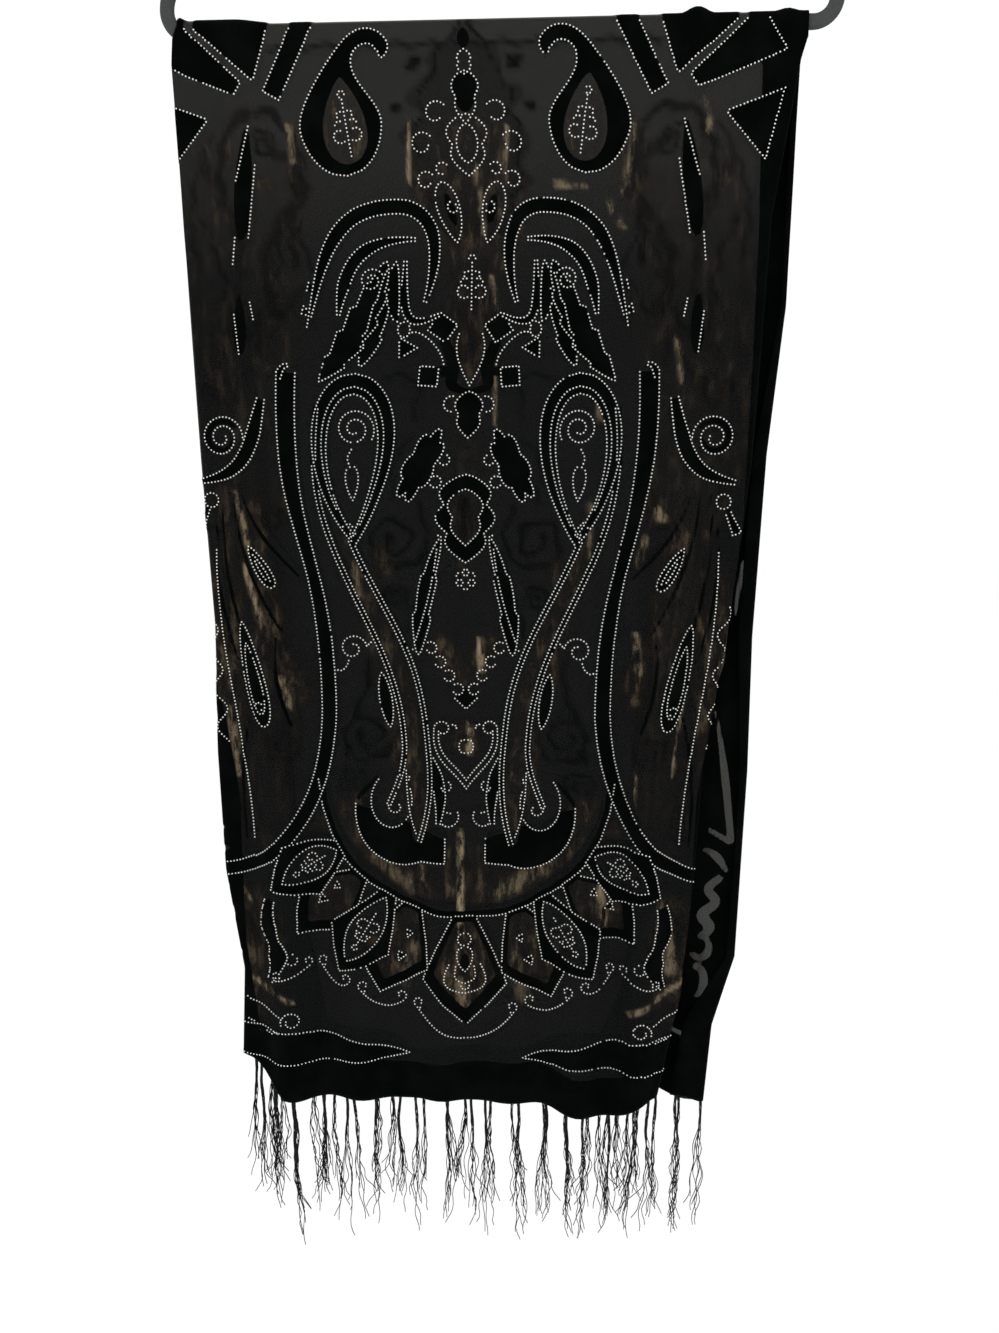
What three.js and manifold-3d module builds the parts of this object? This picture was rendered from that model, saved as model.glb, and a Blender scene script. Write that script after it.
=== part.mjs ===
// An evening stole of one length of cloth, hung doubled over the lower bar of a slim hanger.
// Millimetres, +Z up. The front fall faces -Y, and the origin is inside the top of the hook.
import * as THREE from 'three';
import { mergeVertices } from 'three/addons/utils/BufferGeometryUtils.js';
import Module from 'manifold-3d';

const wasm = await Module();
wasm.setup();

// Driving dimensions of the hanger
const hangerWidth = 445;
const barHeight = 9.5;
const barThick = 6;
const barTop = -225;
const cornerRadius = 14.5; // centre line of the bar's turned-up ends
const shoulderRadius = 25; // centre line of the bend above them
const shoulderSlope = 25 * Math.PI / 180;
const apexRadius = 20;
const wireDiameter = 3.5;
const hookInside = 20; // radius of the space inside the hook
const bossRadius = 6.5;
const bossTop = -86;
const socketDepth = 14;
const clearance = 0.3;

// Driving dimensions of the cloth
const wall = 1.2;
const seamGap = 0.3;
const halfWidth = 223; // half of the flat width, from the pattern's axis to a selvedge
const axisX = -21.6; // the pattern's axis hangs this far left of the hanger's middle
const frontLength = 774; // from the middle of the bar's round top to the hem
const backLength = 762;
const leastMargin = 3; // the last columns keep at least this much cloth
const lapLength = 6; // the fold over the bar ends this far below the same level
const stripGap = 0.45; // more than the seam's, because a hem's lifted corners slope
const stripHeight = 2.4;
const fringeLength = 118;
const tasselCount = 27;
const strandsPerTassel = 3;
const strandPitch = 1.7; // between the roots of a tassel's strands
const strandSpread = 2.2; // how much further apart their ends hang
const strandRoot = 1.2; // how far a strand's root reaches up into the heading strip

const foldGrowth = 380; // drop over which a fold reaches its full height
const gatherFade = 90; // drop over which a gather on the bar runs out
const climbFade = 45; // drop over which the rise of the cloth's end on the bar's corner runs out
const hangLevel = 5.4; // mid wall to the plane through the bar, lower down between the folds
const hangMargin = 2.5; // the same for a turned-under margin
const tightTurn = 1.15; // radius of a turned edge on the bar
const looseTurn = 3; // and lower down

const cornerStart = hangerWidth / 2 - barHeight / 2 - cornerRadius;
const barMiddle = barTop - barHeight / 2;
const saddleCentre = barTop - barThick / 2;
const restLevel = barThick / 2 + clearance + wall / 2; // mid wall to the plane through the bar

// Where the cloth's edges hang, left and right of the pattern's axis
const frontEdges = [
  { drop: 0, left: -187.6, right: 222 },
  { drop: 8, left: -191, right: 222 },
  { drop: 24, left: -192.5, right: 217 },
  { drop: 120, left: -190, right: 203 },
  { drop: 280, left: -185.5, right: 197 },
  { drop: 400, left: -181, right: 186 },
  { drop: 500, left: -183, right: 172 },
  { drop: 600, left: -181, right: 168 },
  { drop: 690, left: -170, right: 162 },
  { drop: 774, left: -174, right: 147 },
];
const backEdges = [
  { drop: 0, left: -187.6, right: 222 },
  { drop: 8, left: -190, right: 222 },
  { drop: 24, left: -191, right: 218 },
  { drop: 175, left: -186, right: 217 },
  { drop: 273, left: -180, right: 209 },
  { drop: 400, left: -176, right: 205 },
  { drop: 500, left: -172, right: 206 },
  { drop: 646, left: -166, right: 203 },
  { drop: 700, left: -162, right: 188 },
  { drop: 762, left: -158, right: 184 },
];

// Long soft folds: place across the cloth at the hem, width and height there,
// the drop where each starts, and how far its top stands off from its foot
const frontFolds = [
  { at: -141, wide: 62, high: 11, start: 120, lean: -9 },
  { at: -84, wide: 54, high: 7, start: 260, lean: -4 },
  { at: -20, wide: 44, high: 4.5, start: 40, lean: 2 },
  { at: 34, wide: 50, high: 4, start: 220, lean: 0 },
  { at: 86, wide: 54, high: 8, start: 180, lean: 6 },
  { at: 139, wide: 56, high: 12, start: 60, lean: 14 },
];
const backFolds = [
  { at: -128, wide: 66, high: 10, start: 90, lean: -12 },
  { at: -66, wide: 56, high: 8, start: 240, lean: -4 },
  { at: 2, wide: 60, high: 6, start: 160, lean: 3 },
  { at: 74, wide: 62, high: 9, start: 110, lean: 5 },
  { at: 150, wide: 60, high: 10, start: 200, lean: 8 },
];
// Small gathers where the cloth is bunched on the bar
const gathers = [
  { at: 152, wide: 24, high: 3.6 },
  { at: 210, wide: 18, high: 1.6 },
];
// Corners of a hem that hang higher than its middle
const frontLifts = [
  { from: -142, to: -182, high: 38 },
  { from: 130, to: 162, high: 21 },
];
const backLifts = [
  { from: -140, to: -172, high: 12 },
  { from: 178, to: 196, high: 8 },
];

const falls = {
  front: { edges: frontEdges, folds: frontFolds, lifts: frontLifts, length: frontLength, turn: 0 },
  back: { edges: backEdges, folds: backFolds, lifts: backLifts, length: backLength, turn: Math.PI },
};

// Drops of the sections below the fold over the bar, and columns across each
const frontDrops = [28, 75, 130, 190, 250, 310, 370, 430, 490, 550, 610, 660, 705, 742, 774];
const backDrops = [28, 75, 140, 205, 270, 335, 400, 465, 530, 590, 645, 695, 732, 762];
const mainColumns = 28;
const turnColumns = 4;
const returnColumns = 2;

const flocked = new THREE.MeshStandardMaterial({ color: 0x525353, roughness: 0.9, metalness: 0 });
const steel = new THREE.MeshStandardMaterial({ color: 0xb9bbbd, roughness: 0.25, metalness: 1 });
const velvet = new THREE.MeshStandardMaterial({ color: 0x0b0c0c, roughness: 0.95, metalness: 0 });
const thread = new THREE.MeshStandardMaterial({ color: 0x141414, roughness: 0.8, metalness: 0 });

const smooth = (x, from, to) => {
  const t = Math.min(1, Math.max(0, (x - from) / (to - from)));
  return t * t * (3 - 2 * t);
};

const mix = (a, b, t) => a + (b - a) * t;

const readTable = (rows, column, drop) => {
  const last = rows[rows.length - 1];
  if (drop >= last.drop) return last[column];
  const next = rows.findIndex((row) => row.drop > drop);
  const a = rows[next - 1];
  const b = rows[next];
  return mix(a[column], b[column], (drop - a.drop) / (b.drop - a.drop));
};

const ridge = (u, at, wide) => {
  const t = (u - at) / wide;
  return Math.abs(t) < 0.5 ? 0.5 * (1 + Math.cos(2 * Math.PI * t)) : 0;
};

const repeatable = (seed) => {
  const value = Math.sin(seed * 127.1 + 11.7) * 43758.5453;
  return value - Math.floor(value);
};

// Level of a turned-under margin, from the plane through the bar
const marginLevel = (drop) => mix(restLevel, hangMargin, smooth(drop, 12, 110));

// Least radius with which the cloth turns under at its edges
const leastTurn = (drop) => mix(tightTurn, looseTurn, smooth(drop, 8, 260));

// Distance of the cloth from the plane through the bar, before its edges turn under
const clothLevel = (fall, u, drop) => {
  const middle = mix(restLevel, hangLevel, smooth(drop, 20, 300));
  const leftEdge = marginLevel(drop) + 2 * leastTurn(drop);
  const rightEdge = marginLevel(drop) + 2 * leastTurn(drop) * smooth(drop, 6, 70);
  const leftShare = smooth(-u, 124, 152);
  const rightShare = smooth(u, 118, 150);
  let level = middle + (leftEdge - middle) * leftShare + (rightEdge - middle) * rightShare;
  for (const fold of fall.folds) {
    const place = fold.at + fold.lean * (1 - drop / fall.length);
    const grown = smooth(drop, fold.start, fold.start + foldGrowth);
    level += fold.high * grown * ridge(u, place, fold.wide);
  }
  for (const gather of gathers) {
    level += gather.high * (1 - smooth(drop, 0, gatherFade)) * ridge(u, gather.at, gather.wide);
  }
  return level;
};

// Walks outwards from the axis in steps of the cloth's own width: place, distance and level
const walkSection = (fall, side, drop) => {
  const step = 1;
  const steps = [{ u: 0, x: 0, level: clothLevel(fall, 0, drop) }];
  for (let u = step; u <= halfWidth + 1e-6; u += step) {
    const before = steps[steps.length - 1];
    const level = clothLevel(fall, side * u, drop);
    const run = Math.sqrt(Math.max(0.05, step * step - (level - before.level) ** 2));
    steps.push({ u, x: before.x + run, level });
  }
  return steps;
};

const readWalk = (steps, u) => {
  const index = Math.min(Math.floor(u), steps.length - 2);
  const t = u - index;
  const a = steps[index];
  const b = steps[index + 1];
  return { x: mix(a.x, b.x, t), level: mix(a.level, b.level, t) };
};

// A turned edge is half round, from the cloth's level there down to the margin's level
const turnRadius = (level, drop) => Math.max(leastTurn(drop), (level - marginLevel(drop)) / 2);

// Place along the cloth where it starts to turn under, so that its edge hangs at `edge`
const findTurn = (steps, edge, drop) => {
  let low = 0;
  let high = halfWidth;
  for (let i = 0; i < 40; i += 1) {
    const u = (low + high) / 2;
    const spot = readWalk(steps, u);
    const radius = turnRadius(spot.level, drop);
    const bend = Math.min((halfWidth - u) / radius, Math.PI / 2);
    if (spot.x + radius * Math.sin(bend) < edge) low = u;
    else high = u;
  }
  return (low + high) / 2;
};

// One half of a section across the cloth, with a reader for any place on it
const halfSection = (fall, side, drop) => {
  const steps = walkSection(fall, side, drop);
  const edge = Math.abs(readTable(fall.edges, side < 0 ? 'left' : 'right', drop));
  const turnAt = findTurn(steps, edge, drop);
  const start = readWalk(steps, turnAt);
  const radius = turnRadius(start.level, drop);
  const mainEnd = Math.min(turnAt, halfWidth - leastMargin);
  const bent = Math.min(Math.PI * radius, 0.9 * (halfWidth - mainEnd));
  const read = (u) => {
    const past = Math.max(0, u - turnAt);
    const angle = Math.min(past / radius, Math.PI);
    const flat = Math.max(0, past - Math.PI * radius);
    const spot = readWalk(steps, Math.min(u, turnAt));
    const x = spot.x + radius * Math.sin(angle) - flat;
    return { u: side * u, x: side * x, level: spot.level - radius * (1 - Math.cos(angle)) };
  };
  return { mainEnd, bent, read };
};

const halfPlaces = ({ mainEnd, bent }) => {
  const places = [];
  for (let i = 1; i <= turnColumns; i += 1) places.push(mainEnd + bent * i / turnColumns);
  const left = halfWidth - mainEnd - bent;
  for (let i = 1; i <= returnColumns; i += 1) places.push(mainEnd + bent + left * i / returnColumns);
  return places;
};

// Columns of the main run as shares of the way to each turn, closer together at the gathers
const mainShares = () => {
  const shares = [];
  for (let i = 0; i < mainColumns; i += 1) shares.push(-1 + 2 * i / (mainColumns - 1));
  for (const gather of gathers) {
    for (const part of [-0.5, -0.2, 0.2, 0.5]) shares.push((gather.at + part * gather.wide) / halfWidth);
  }
  return shares.sort((a, b) => a - b);
};
const shares = mainShares();

// Rise of the cloth's end where it lies on the bar's turned-up corner
const climbOnCorner = (x) => {
  const inside = cornerRadius - barHeight / 2 - clearance - wall / 2;
  const steepest = 0.72 * inside;
  const past = Math.min(Math.max(0, Math.abs(x) - cornerStart), steepest);
  return inside - Math.sqrt(inside * inside - past * past);
};

// A point of the mid wall: `lap` is the angle gone over the bar, 0 on the front fall
const placePoint = (fall, spot, drop, lap) => {
  const x = axisX + spot.x;
  let lift = climbOnCorner(x) * (1 - smooth(drop, 0, climbFade));
  for (const corner of fall.lifts) {
    lift += corner.high * smooth(spot.u, corner.from, corner.to) * (drop / fall.length) ** 3;
  }
  const height = saddleCentre - drop + lift + spot.level * Math.sin(lap);
  return new THREE.Vector3(x, -spot.level * Math.cos(lap), height);
};

// Spots across the cloth from selvedge to selvedge, each with its flat place `u`
const sectionSpots = (fall, drop) => {
  const left = halfSection(fall, -1, drop);
  const right = halfSection(fall, 1, drop);
  const spots = halfPlaces(left).reverse().map((u) => left.read(u));
  for (const share of shares) {
    spots.push(share < 0 ? left.read(-share * left.mainEnd) : right.read(share * right.mainEnd));
  }
  return [...spots, ...halfPlaces(right).map((u) => right.read(u))];
};

const sectionPoints = (fall, drop, lap) => (
  sectionSpots(fall, drop).map((spot) => placePoint(fall, spot, drop, lap))
);

// Closed wall of the cloth's thickness around a grid of mid-wall points
const wallGeometry = (grid) => {
  const rows = grid.length;
  const columns = grid[0].length;
  const positions = [];
  const index = [];
  const normalAt = (r, c) => {
    const along = grid[Math.min(r + 1, rows - 1)][c].clone().sub(grid[Math.max(r - 1, 0)][c]);
    const across = grid[r][Math.min(c + 1, columns - 1)].clone().sub(grid[r][Math.max(c - 1, 0)]);
    return across.cross(along).normalize();
  };
  for (const face of [-1, 1]) {
    for (let r = 0; r < rows; r += 1) {
      for (let c = 0; c < columns; c += 1) {
        const point = grid[r][c].clone().addScaledVector(normalAt(r, c), face * wall / 2);
        positions.push(point.x, point.y, point.z);
      }
    }
  }
  const id = (face, r, c) => (face * rows + r) * columns + c;
  const quad = (a, b, c, d) => index.push(a, b, c, a, c, d);
  for (let r = 0; r < rows - 1; r += 1) {
    for (let c = 0; c < columns - 1; c += 1) {
      quad(id(0, r, c), id(0, r + 1, c), id(0, r + 1, c + 1), id(0, r, c + 1));
      quad(id(1, r, c), id(1, r, c + 1), id(1, r + 1, c + 1), id(1, r + 1, c));
    }
  }
  for (let c = 0; c < columns - 1; c += 1) {
    quad(id(0, 0, c), id(0, 0, c + 1), id(1, 0, c + 1), id(1, 0, c));
    quad(id(0, rows - 1, c + 1), id(0, rows - 1, c), id(1, rows - 1, c), id(1, rows - 1, c + 1));
  }
  for (let r = 0; r < rows - 1; r += 1) {
    quad(id(0, r + 1, 0), id(0, r, 0), id(1, r, 0), id(1, r + 1, 0));
    quad(id(0, r, columns - 1), id(0, r + 1, columns - 1), id(1, r + 1, columns - 1), id(1, r, columns - 1));
  }
  const geometry = new THREE.BufferGeometry();
  geometry.setAttribute('position', new THREE.Float32BufferAttribute(positions, 3));
  geometry.setIndex(index);
  return faceOut(geometry);
};

const signedVolume = (geometry) => {
  const p = geometry.attributes.position;
  const i = geometry.index;
  const [a, b, c] = [new THREE.Vector3(), new THREE.Vector3(), new THREE.Vector3()];
  let volume = 0;
  for (let k = 0; k < i.count; k += 3) {
    a.fromBufferAttribute(p, i.getX(k));
    b.fromBufferAttribute(p, i.getX(k + 1));
    c.fromBufferAttribute(p, i.getX(k + 2));
    volume += a.dot(b.cross(c)) / 6;
  }
  return volume;
};

function faceOut(geometry) {
  if (signedVolume(geometry) > 0) return geometry;
  const order = [];
  for (let k = 0; k < geometry.index.count; k += 3) {
    order.push(geometry.index.getX(k), geometry.index.getX(k + 2), geometry.index.getX(k + 1));
  }
  geometry.setIndex(order);
  return geometry;
}

const toSolid = (geometry) => {
  const bare = geometry.clone();
  bare.deleteAttribute('normal');
  bare.deleteAttribute('uv');
  const merged = mergeVertices(bare, 1e-3);
  const mesh = new wasm.Mesh({
    numProp: 3,
    vertProperties: new Float32Array(merged.attributes.position.array),
    triVerts: new Uint32Array(merged.index.array),
  });
  return new wasm.Manifold(mesh);
};

const fromSolid = (solid) => {
  const mesh = solid.getMesh();
  const geometry = new THREE.BufferGeometry();
  geometry.setAttribute('position', new THREE.Float32BufferAttribute(mesh.vertProperties, mesh.numProp));
  geometry.setIndex(Array.from(mesh.triVerts));
  return geometry;
};

// The cloth's three stretches
const fallGeometry = (fall, drops) => {
  const rows = [lapLength + seamGap, ...drops];
  return wallGeometry(rows.map((drop) => sectionPoints(fall, drop, fall.turn)));
};

const barFoldGeometry = () => {
  const lapSteps = 6;
  const grid = [sectionPoints(falls.front, lapLength, 0)];
  for (let i = 0; i <= lapSteps; i += 1) {
    grid.push(sectionPoints(falls.front, 0, Math.PI * i / lapSteps));
  }
  grid.push(sectionPoints(falls.back, lapLength, Math.PI));
  return wallGeometry(grid);
};

// A strand of three sides that narrows to its end
const strandGeometry = (points, rootRadius, endRadius) => {
  const positions = [];
  const index = [];
  points.forEach((point, row) => {
    const radius = mix(rootRadius, endRadius, row / (points.length - 1));
    for (let side = 0; side < 3; side += 1) {
      const angle = side * 2 * Math.PI / 3;
      positions.push(point.x + radius * Math.cos(angle), point.y + radius * Math.sin(angle), point.z);
    }
  });
  for (let row = 0; row < points.length - 1; row += 1) {
    for (let side = 0; side < 3; side += 1) {
      const a = row * 3 + side;
      const b = row * 3 + (side + 1) % 3;
      index.push(a, a + 3, b, b, a + 3, b + 3);
    }
  }
  const end = (points.length - 1) * 3;
  index.push(0, 1, 2, end, end + 2, end + 1);
  const geometry = new THREE.BufferGeometry();
  geometry.setAttribute('position', new THREE.Float32BufferAttribute(positions, 3));
  geometry.setIndex(index);
  return faceOut(geometry);
};

// Place of a point on a section's facets, so that what is sewn there meets them
const pointOnFacets = (fall, spots, u, drop) => {
  const next = spots.findIndex((spot) => spot.u > u);
  const [a, b] = [spots[next - 1], spots[next]];
  const start = placePoint(fall, a, drop, fall.turn);
  return start.lerp(placePoint(fall, b, drop, fall.turn), (u - a.u) / (b.u - a.u));
};

// A heading strip just below the hem, with tassels whose strands part as they hang
const fringeGeometry = (fall) => {
  const top = fall.length + stripGap;
  const foot = top + stripHeight;
  const strip = wallGeometry([top, foot].map((drop) => sectionPoints(fall, drop, fall.turn)));
  let solid = toSolid(strip);
  const pitch = 2 * halfWidth / tasselCount;
  const spots = sectionSpots(fall, foot);
  const outward = -Math.cos(fall.turn);
  for (let i = 0; i < tasselCount; i += 1) {
    const middle = -halfWidth + pitch * (i + 0.5);
    const sway = 3 * (repeatable(i + fall.length) - 0.5);
    for (let k = 0; k < strandsPerTassel; k += 1) {
      const seed = i * 7 + k + fall.length;
      const length = fringeLength * (0.9 + 0.14 * repeatable(seed));
      const apart = k - (strandsPerTassel - 1) / 2;
      const depth = outward * 1.4 * repeatable(seed + 0.5);
      const root = pointOnFacets(fall, spots, middle + apart * strandPitch, foot);
      const points = [0, 0.4, 1].map((share) => new THREE.Vector3(
        root.x + apart * strandSpread * share + sway * share ** 2,
        root.y + depth * share,
        root.z + strandRoot - length * share,
      ));
      solid = solid.add(toSolid(strandGeometry(points, 0.55, 0.4)));
    }
  }
  return fromSolid(solid);
};

// Closed ring of the hanger's section, swept round the frame
const framePath = () => {
  const path = [];
  const cornerZ = barMiddle + cornerRadius;
  const shoulderX = cornerStart + cornerRadius - shoulderRadius;
  const slopeStart = new THREE.Vector2(
    shoulderX + shoulderRadius * Math.sin(shoulderSlope),
    cornerZ + shoulderRadius * Math.cos(shoulderSlope),
  );
  const apexEndX = apexRadius * Math.sin(shoulderSlope);
  const rise = (slopeStart.x - apexEndX) * Math.tan(shoulderSlope);
  const apexZ = slopeStart.y + rise - apexRadius * Math.cos(shoulderSlope);
  const barSteps = 4;
  for (let i = 0; i < barSteps; i += 1) path.push([cornerStart * i / barSteps, barMiddle, 0]);
  const cornerSteps = 6;
  for (let i = 0; i < cornerSteps; i += 1) {
    const angle = Math.PI / 2 * i / cornerSteps;
    const x = cornerStart + cornerRadius * Math.sin(angle);
    path.push([x, cornerZ - cornerRadius * Math.cos(angle), angle]);
  }
  const shoulderSteps = 5;
  const shoulderTurn = Math.PI / 2 - shoulderSlope;
  for (let i = 0; i < shoulderSteps; i += 1) {
    const angle = shoulderTurn * i / shoulderSteps;
    const x = shoulderX + shoulderRadius * Math.cos(angle);
    path.push([x, cornerZ + shoulderRadius * Math.sin(angle), Math.PI / 2 + angle]);
  }
  path.push([slopeStart.x, slopeStart.y, Math.PI - shoulderSlope]);
  path.push([apexEndX, slopeStart.y + rise, Math.PI - shoulderSlope]);
  const rightHalf = path.map(([x, z, heading]) => ({ x, z, heading }));
  const apex = { x: 0, z: apexZ + apexRadius, heading: Math.PI };
  const mirrored = ({ x, z, heading }) => ({ x: -x, z, heading: 2 * Math.PI - heading });
  const leftHalf = rightHalf.slice(1).reverse().map(mirrored);
  return { points: [...rightHalf, apex, ...leftHalf], top: apex.z };
};

const frameSection = () => {
  const section = [];
  const endSteps = 4;
  const straight = (barHeight - barThick) / 2;
  for (const end of [1, -1]) {
    for (let i = 0; i <= endSteps; i += 1) {
      const angle = Math.PI * i / endSteps;
      section.push({
        across: end * (barThick / 2) * Math.cos(angle),
        up: end * (straight + (barThick / 2) * Math.sin(angle)),
      });
    }
  }
  return section;
};

const cylinderAt = (radius, bottom, top, sides) => {
  const geometry = new THREE.CylinderGeometry(radius, radius, top - bottom, sides);
  geometry.rotateX(Math.PI / 2);
  geometry.translate(0, 0, (top + bottom) / 2);
  return geometry;
};

const frameGeometry = () => {
  const { points, top } = framePath();
  const section = frameSection();
  const positions = [];
  const index = [];
  for (const point of points) {
    const upX = -Math.sin(point.heading);
    const upZ = Math.cos(point.heading);
    for (const s of section) positions.push(point.x + upX * s.up, s.across, point.z + upZ * s.up);
  }
  const count = section.length;
  for (let i = 0; i < points.length; i += 1) {
    const next = (i + 1) % points.length;
    for (let j = 0; j < count; j += 1) {
      const k = (j + 1) % count;
      index.push(i * count + j, next * count + j, i * count + k);
      index.push(i * count + k, next * count + j, next * count + k);
    }
  }
  const ring = new THREE.BufferGeometry();
  ring.setAttribute('position', new THREE.Float32BufferAttribute(positions, 3));
  ring.setIndex(index);
  const boss = new THREE.CylinderGeometry(bossRadius * 0.8, bossRadius, bossTop - top, 16);
  boss.rotateX(Math.PI / 2);
  boss.translate(0, 0, (bossTop + top) / 2);
  const socket = cylinderAt(wireDiameter / 2 + clearance, bossTop - socketDepth, bossTop + 1, 16);
  return fromSolid(toSolid(faceOut(ring)).add(toSolid(boss)).subtract(toSolid(socket)));
};

// Round wire hook: a long arc over the rail, then a bend into the upright stem
const hookGeometry = () => {
  const radius = hookInside + wireDiameter / 2;
  const centre = -hookInside;
  const points = [];
  const tipAngle = 205;
  const bendAngle = -48;
  const arcSteps = 18;
  for (let i = 0; i <= arcSteps; i += 1) {
    const angle = mix(tipAngle, bendAngle, i / arcSteps) * Math.PI / 180;
    points.push(new THREE.Vector3(radius * Math.cos(angle), 0, centre + radius * Math.sin(angle)));
  }
  const bendDrop = 14;
  const stemTop = centre - radius - bendDrop;
  points.push(new THREE.Vector3(3.2, 0, stemTop + 9.5));
  points.push(new THREE.Vector3(0, 0, stemTop));
  points.push(new THREE.Vector3(0, 0, (stemTop + bossTop) / 2));
  points.push(new THREE.Vector3(0, 0, bossTop - socketDepth + clearance));
  const path = new THREE.CatmullRomCurve3(points);
  const section = new THREE.Shape();
  section.absarc(0, 0, wireDiameter / 2, 0, 2 * Math.PI);
  const wire = new THREE.ExtrudeGeometry(section, { steps: 44, curveSegments: 5, extrudePath: path });
  return fromSolid(toSolid(wire));
};

const addPiece = (group, name, geometry, material) => {
  const mesh = new THREE.Mesh(geometry, material);
  mesh.name = name;
  group.add(mesh);
};

const stole = new THREE.Group();
addPiece(stole, 'hanger_hook', hookGeometry(), steel);
addPiece(stole, 'hanger_frame', frameGeometry(), flocked);
addPiece(stole, 'bar_fold', barFoldGeometry(), velvet);
addPiece(stole, 'front_fall', fallGeometry(falls.front, frontDrops), velvet);
addPiece(stole, 'back_fall', fallGeometry(falls.back, backDrops), velvet);
addPiece(stole, 'front_fringe', fringeGeometry(falls.front), thread);
addPiece(stole, 'back_fringe', fringeGeometry(falls.back), thread);

export default stole;
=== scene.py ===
import math
import random

import bpy
import numpy as np
from mathutils import Matrix, Vector


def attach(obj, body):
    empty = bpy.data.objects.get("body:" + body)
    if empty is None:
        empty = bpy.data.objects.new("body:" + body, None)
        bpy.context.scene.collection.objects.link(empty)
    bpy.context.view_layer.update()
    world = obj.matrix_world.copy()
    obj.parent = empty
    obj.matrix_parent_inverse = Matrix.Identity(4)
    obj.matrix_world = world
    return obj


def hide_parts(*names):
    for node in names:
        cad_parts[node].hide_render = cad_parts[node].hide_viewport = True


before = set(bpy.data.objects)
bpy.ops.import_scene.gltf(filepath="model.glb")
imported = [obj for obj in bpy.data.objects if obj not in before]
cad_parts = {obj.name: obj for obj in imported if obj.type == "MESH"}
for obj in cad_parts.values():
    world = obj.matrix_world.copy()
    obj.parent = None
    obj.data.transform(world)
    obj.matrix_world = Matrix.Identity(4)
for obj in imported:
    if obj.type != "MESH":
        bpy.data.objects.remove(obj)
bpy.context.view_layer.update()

scene = bpy.context.scene
mm = 0.001


# Small helpers: all lengths are in mm until a mesh is made

def smooth(x, start, end):
    t = np.clip((x - start) / (end - start), 0.0, 1.0)
    return t * t * (3.0 - 2.0 * t)


def mix(a, b, t):
    return a + (b - a) * t


def ridge(u, at, wide):
    t = np.abs((u - at) / wide)
    return np.where(t < 0.5, 0.5 * (1.0 + np.cos(2.0 * np.pi * t)), 0.0)


def unit(v):
    return v / (np.linalg.norm(v, axis=-1, keepdims=True) + 1e-9)


def meshPiece(name, points, faces, material):
    mesh = bpy.data.meshes.new(name)
    mesh.from_pydata([tuple(p) for p in np.asarray(points) * mm], [], faces)
    mesh.validate()
    piece = bpy.data.objects.new(name, mesh)
    scene.collection.objects.link(piece)
    mesh.materials.append(material)
    mesh.polygons.foreach_set("use_smooth", [True] * len(mesh.polygons))
    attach(piece, "root")
    return piece


def deselectAll():
    for o in bpy.context.selected_objects:
        o.select_set(False)


def makeActive(piece):
    deselectAll()
    bpy.context.view_layer.objects.active = piece
    piece.select_set(True)


def applyAll(piece):
    makeActive(piece)
    for modifier in list(piece.modifiers):
        bpy.ops.object.modifier_apply(modifier=modifier.name)
    bpy.ops.object.transform_apply(location=True, rotation=True, scale=True)


# Materials

def linear(hexColour):
    values = [int(hexColour[i:i + 2], 16) / 255 for i in (1, 3, 5)]
    values = [v / 12.92 if v <= 0.04045 else ((v + 0.055) / 1.055) ** 2.4 for v in values]
    return (*values, 1.0)


def addNode(material, kind, settings=None, **links):
    # settings are the node's own, or its sockets' values; links give sockets by name, or as in0, in1,
    # and take a socket, or a node for the first of its outputs in use
    tree = material.node_tree
    node = tree.nodes.new("ShaderNode" + kind)
    for key, value in (settings or {}).items():
        if isinstance(key, str) and hasattr(node, key):
            setattr(node, key, value)
        else:
            node.inputs[key].default_value = value
    for key, source in links.items():
        place = key.replace("_", " ")
        place = int(place[2:]) if place.startswith("in") and place[2:].isdigit() else place
        if isinstance(source, bpy.types.Node):
            source = next(socket for socket in source.outputs if socket.enabled)
        tree.links.new(source, node.inputs[place])
    return node


def newMaterial(name):
    material = bpy.data.materials.new(name)
    material.use_nodes = True
    material.node_tree.nodes.clear()
    return material


softStep = {"interpolation_type": "SMOOTHSTEP"}
colours = {"data_type": "RGBA"}     # a Mix node's colour sockets are 6 and 7, its share is 0

clothLooks = {
    "velvet": "#030404",        # rayon pile, black and deep
    "velvetRaised": "#080909",  # painted sheen: a lighter velvet standing in for pile that catches the light
    "sheerTop": "#292928",      # silk chiffon ground, near the bar
    "sheerLow": "#111212",      # lower down the ground is painted darker: painted shade
    "charcoalAndShadow": "#030404",      # printed scrolls, grey on grey, and the painted shadow line under the bar
    "brown": "#1d1915",         # printed patches
    "brownWorn": "#4a4032",     # where their ink has rubbed
    "tan": "#93836a",           # painted highlight along the creases, in the tan of the metallic print
    "tuft": 1.1,                # mm between pile tufts, coarser than real so that they show
    "threadPitch": 0.9,         # mm, chiffon threads drawn coarser than their real 0.2 mm
    "opacity": 0.78,            # of each of the sheer wall's two faces
    "weaveDepth": 0.07,         # how much of that the threads and gaps give and take
}


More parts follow.
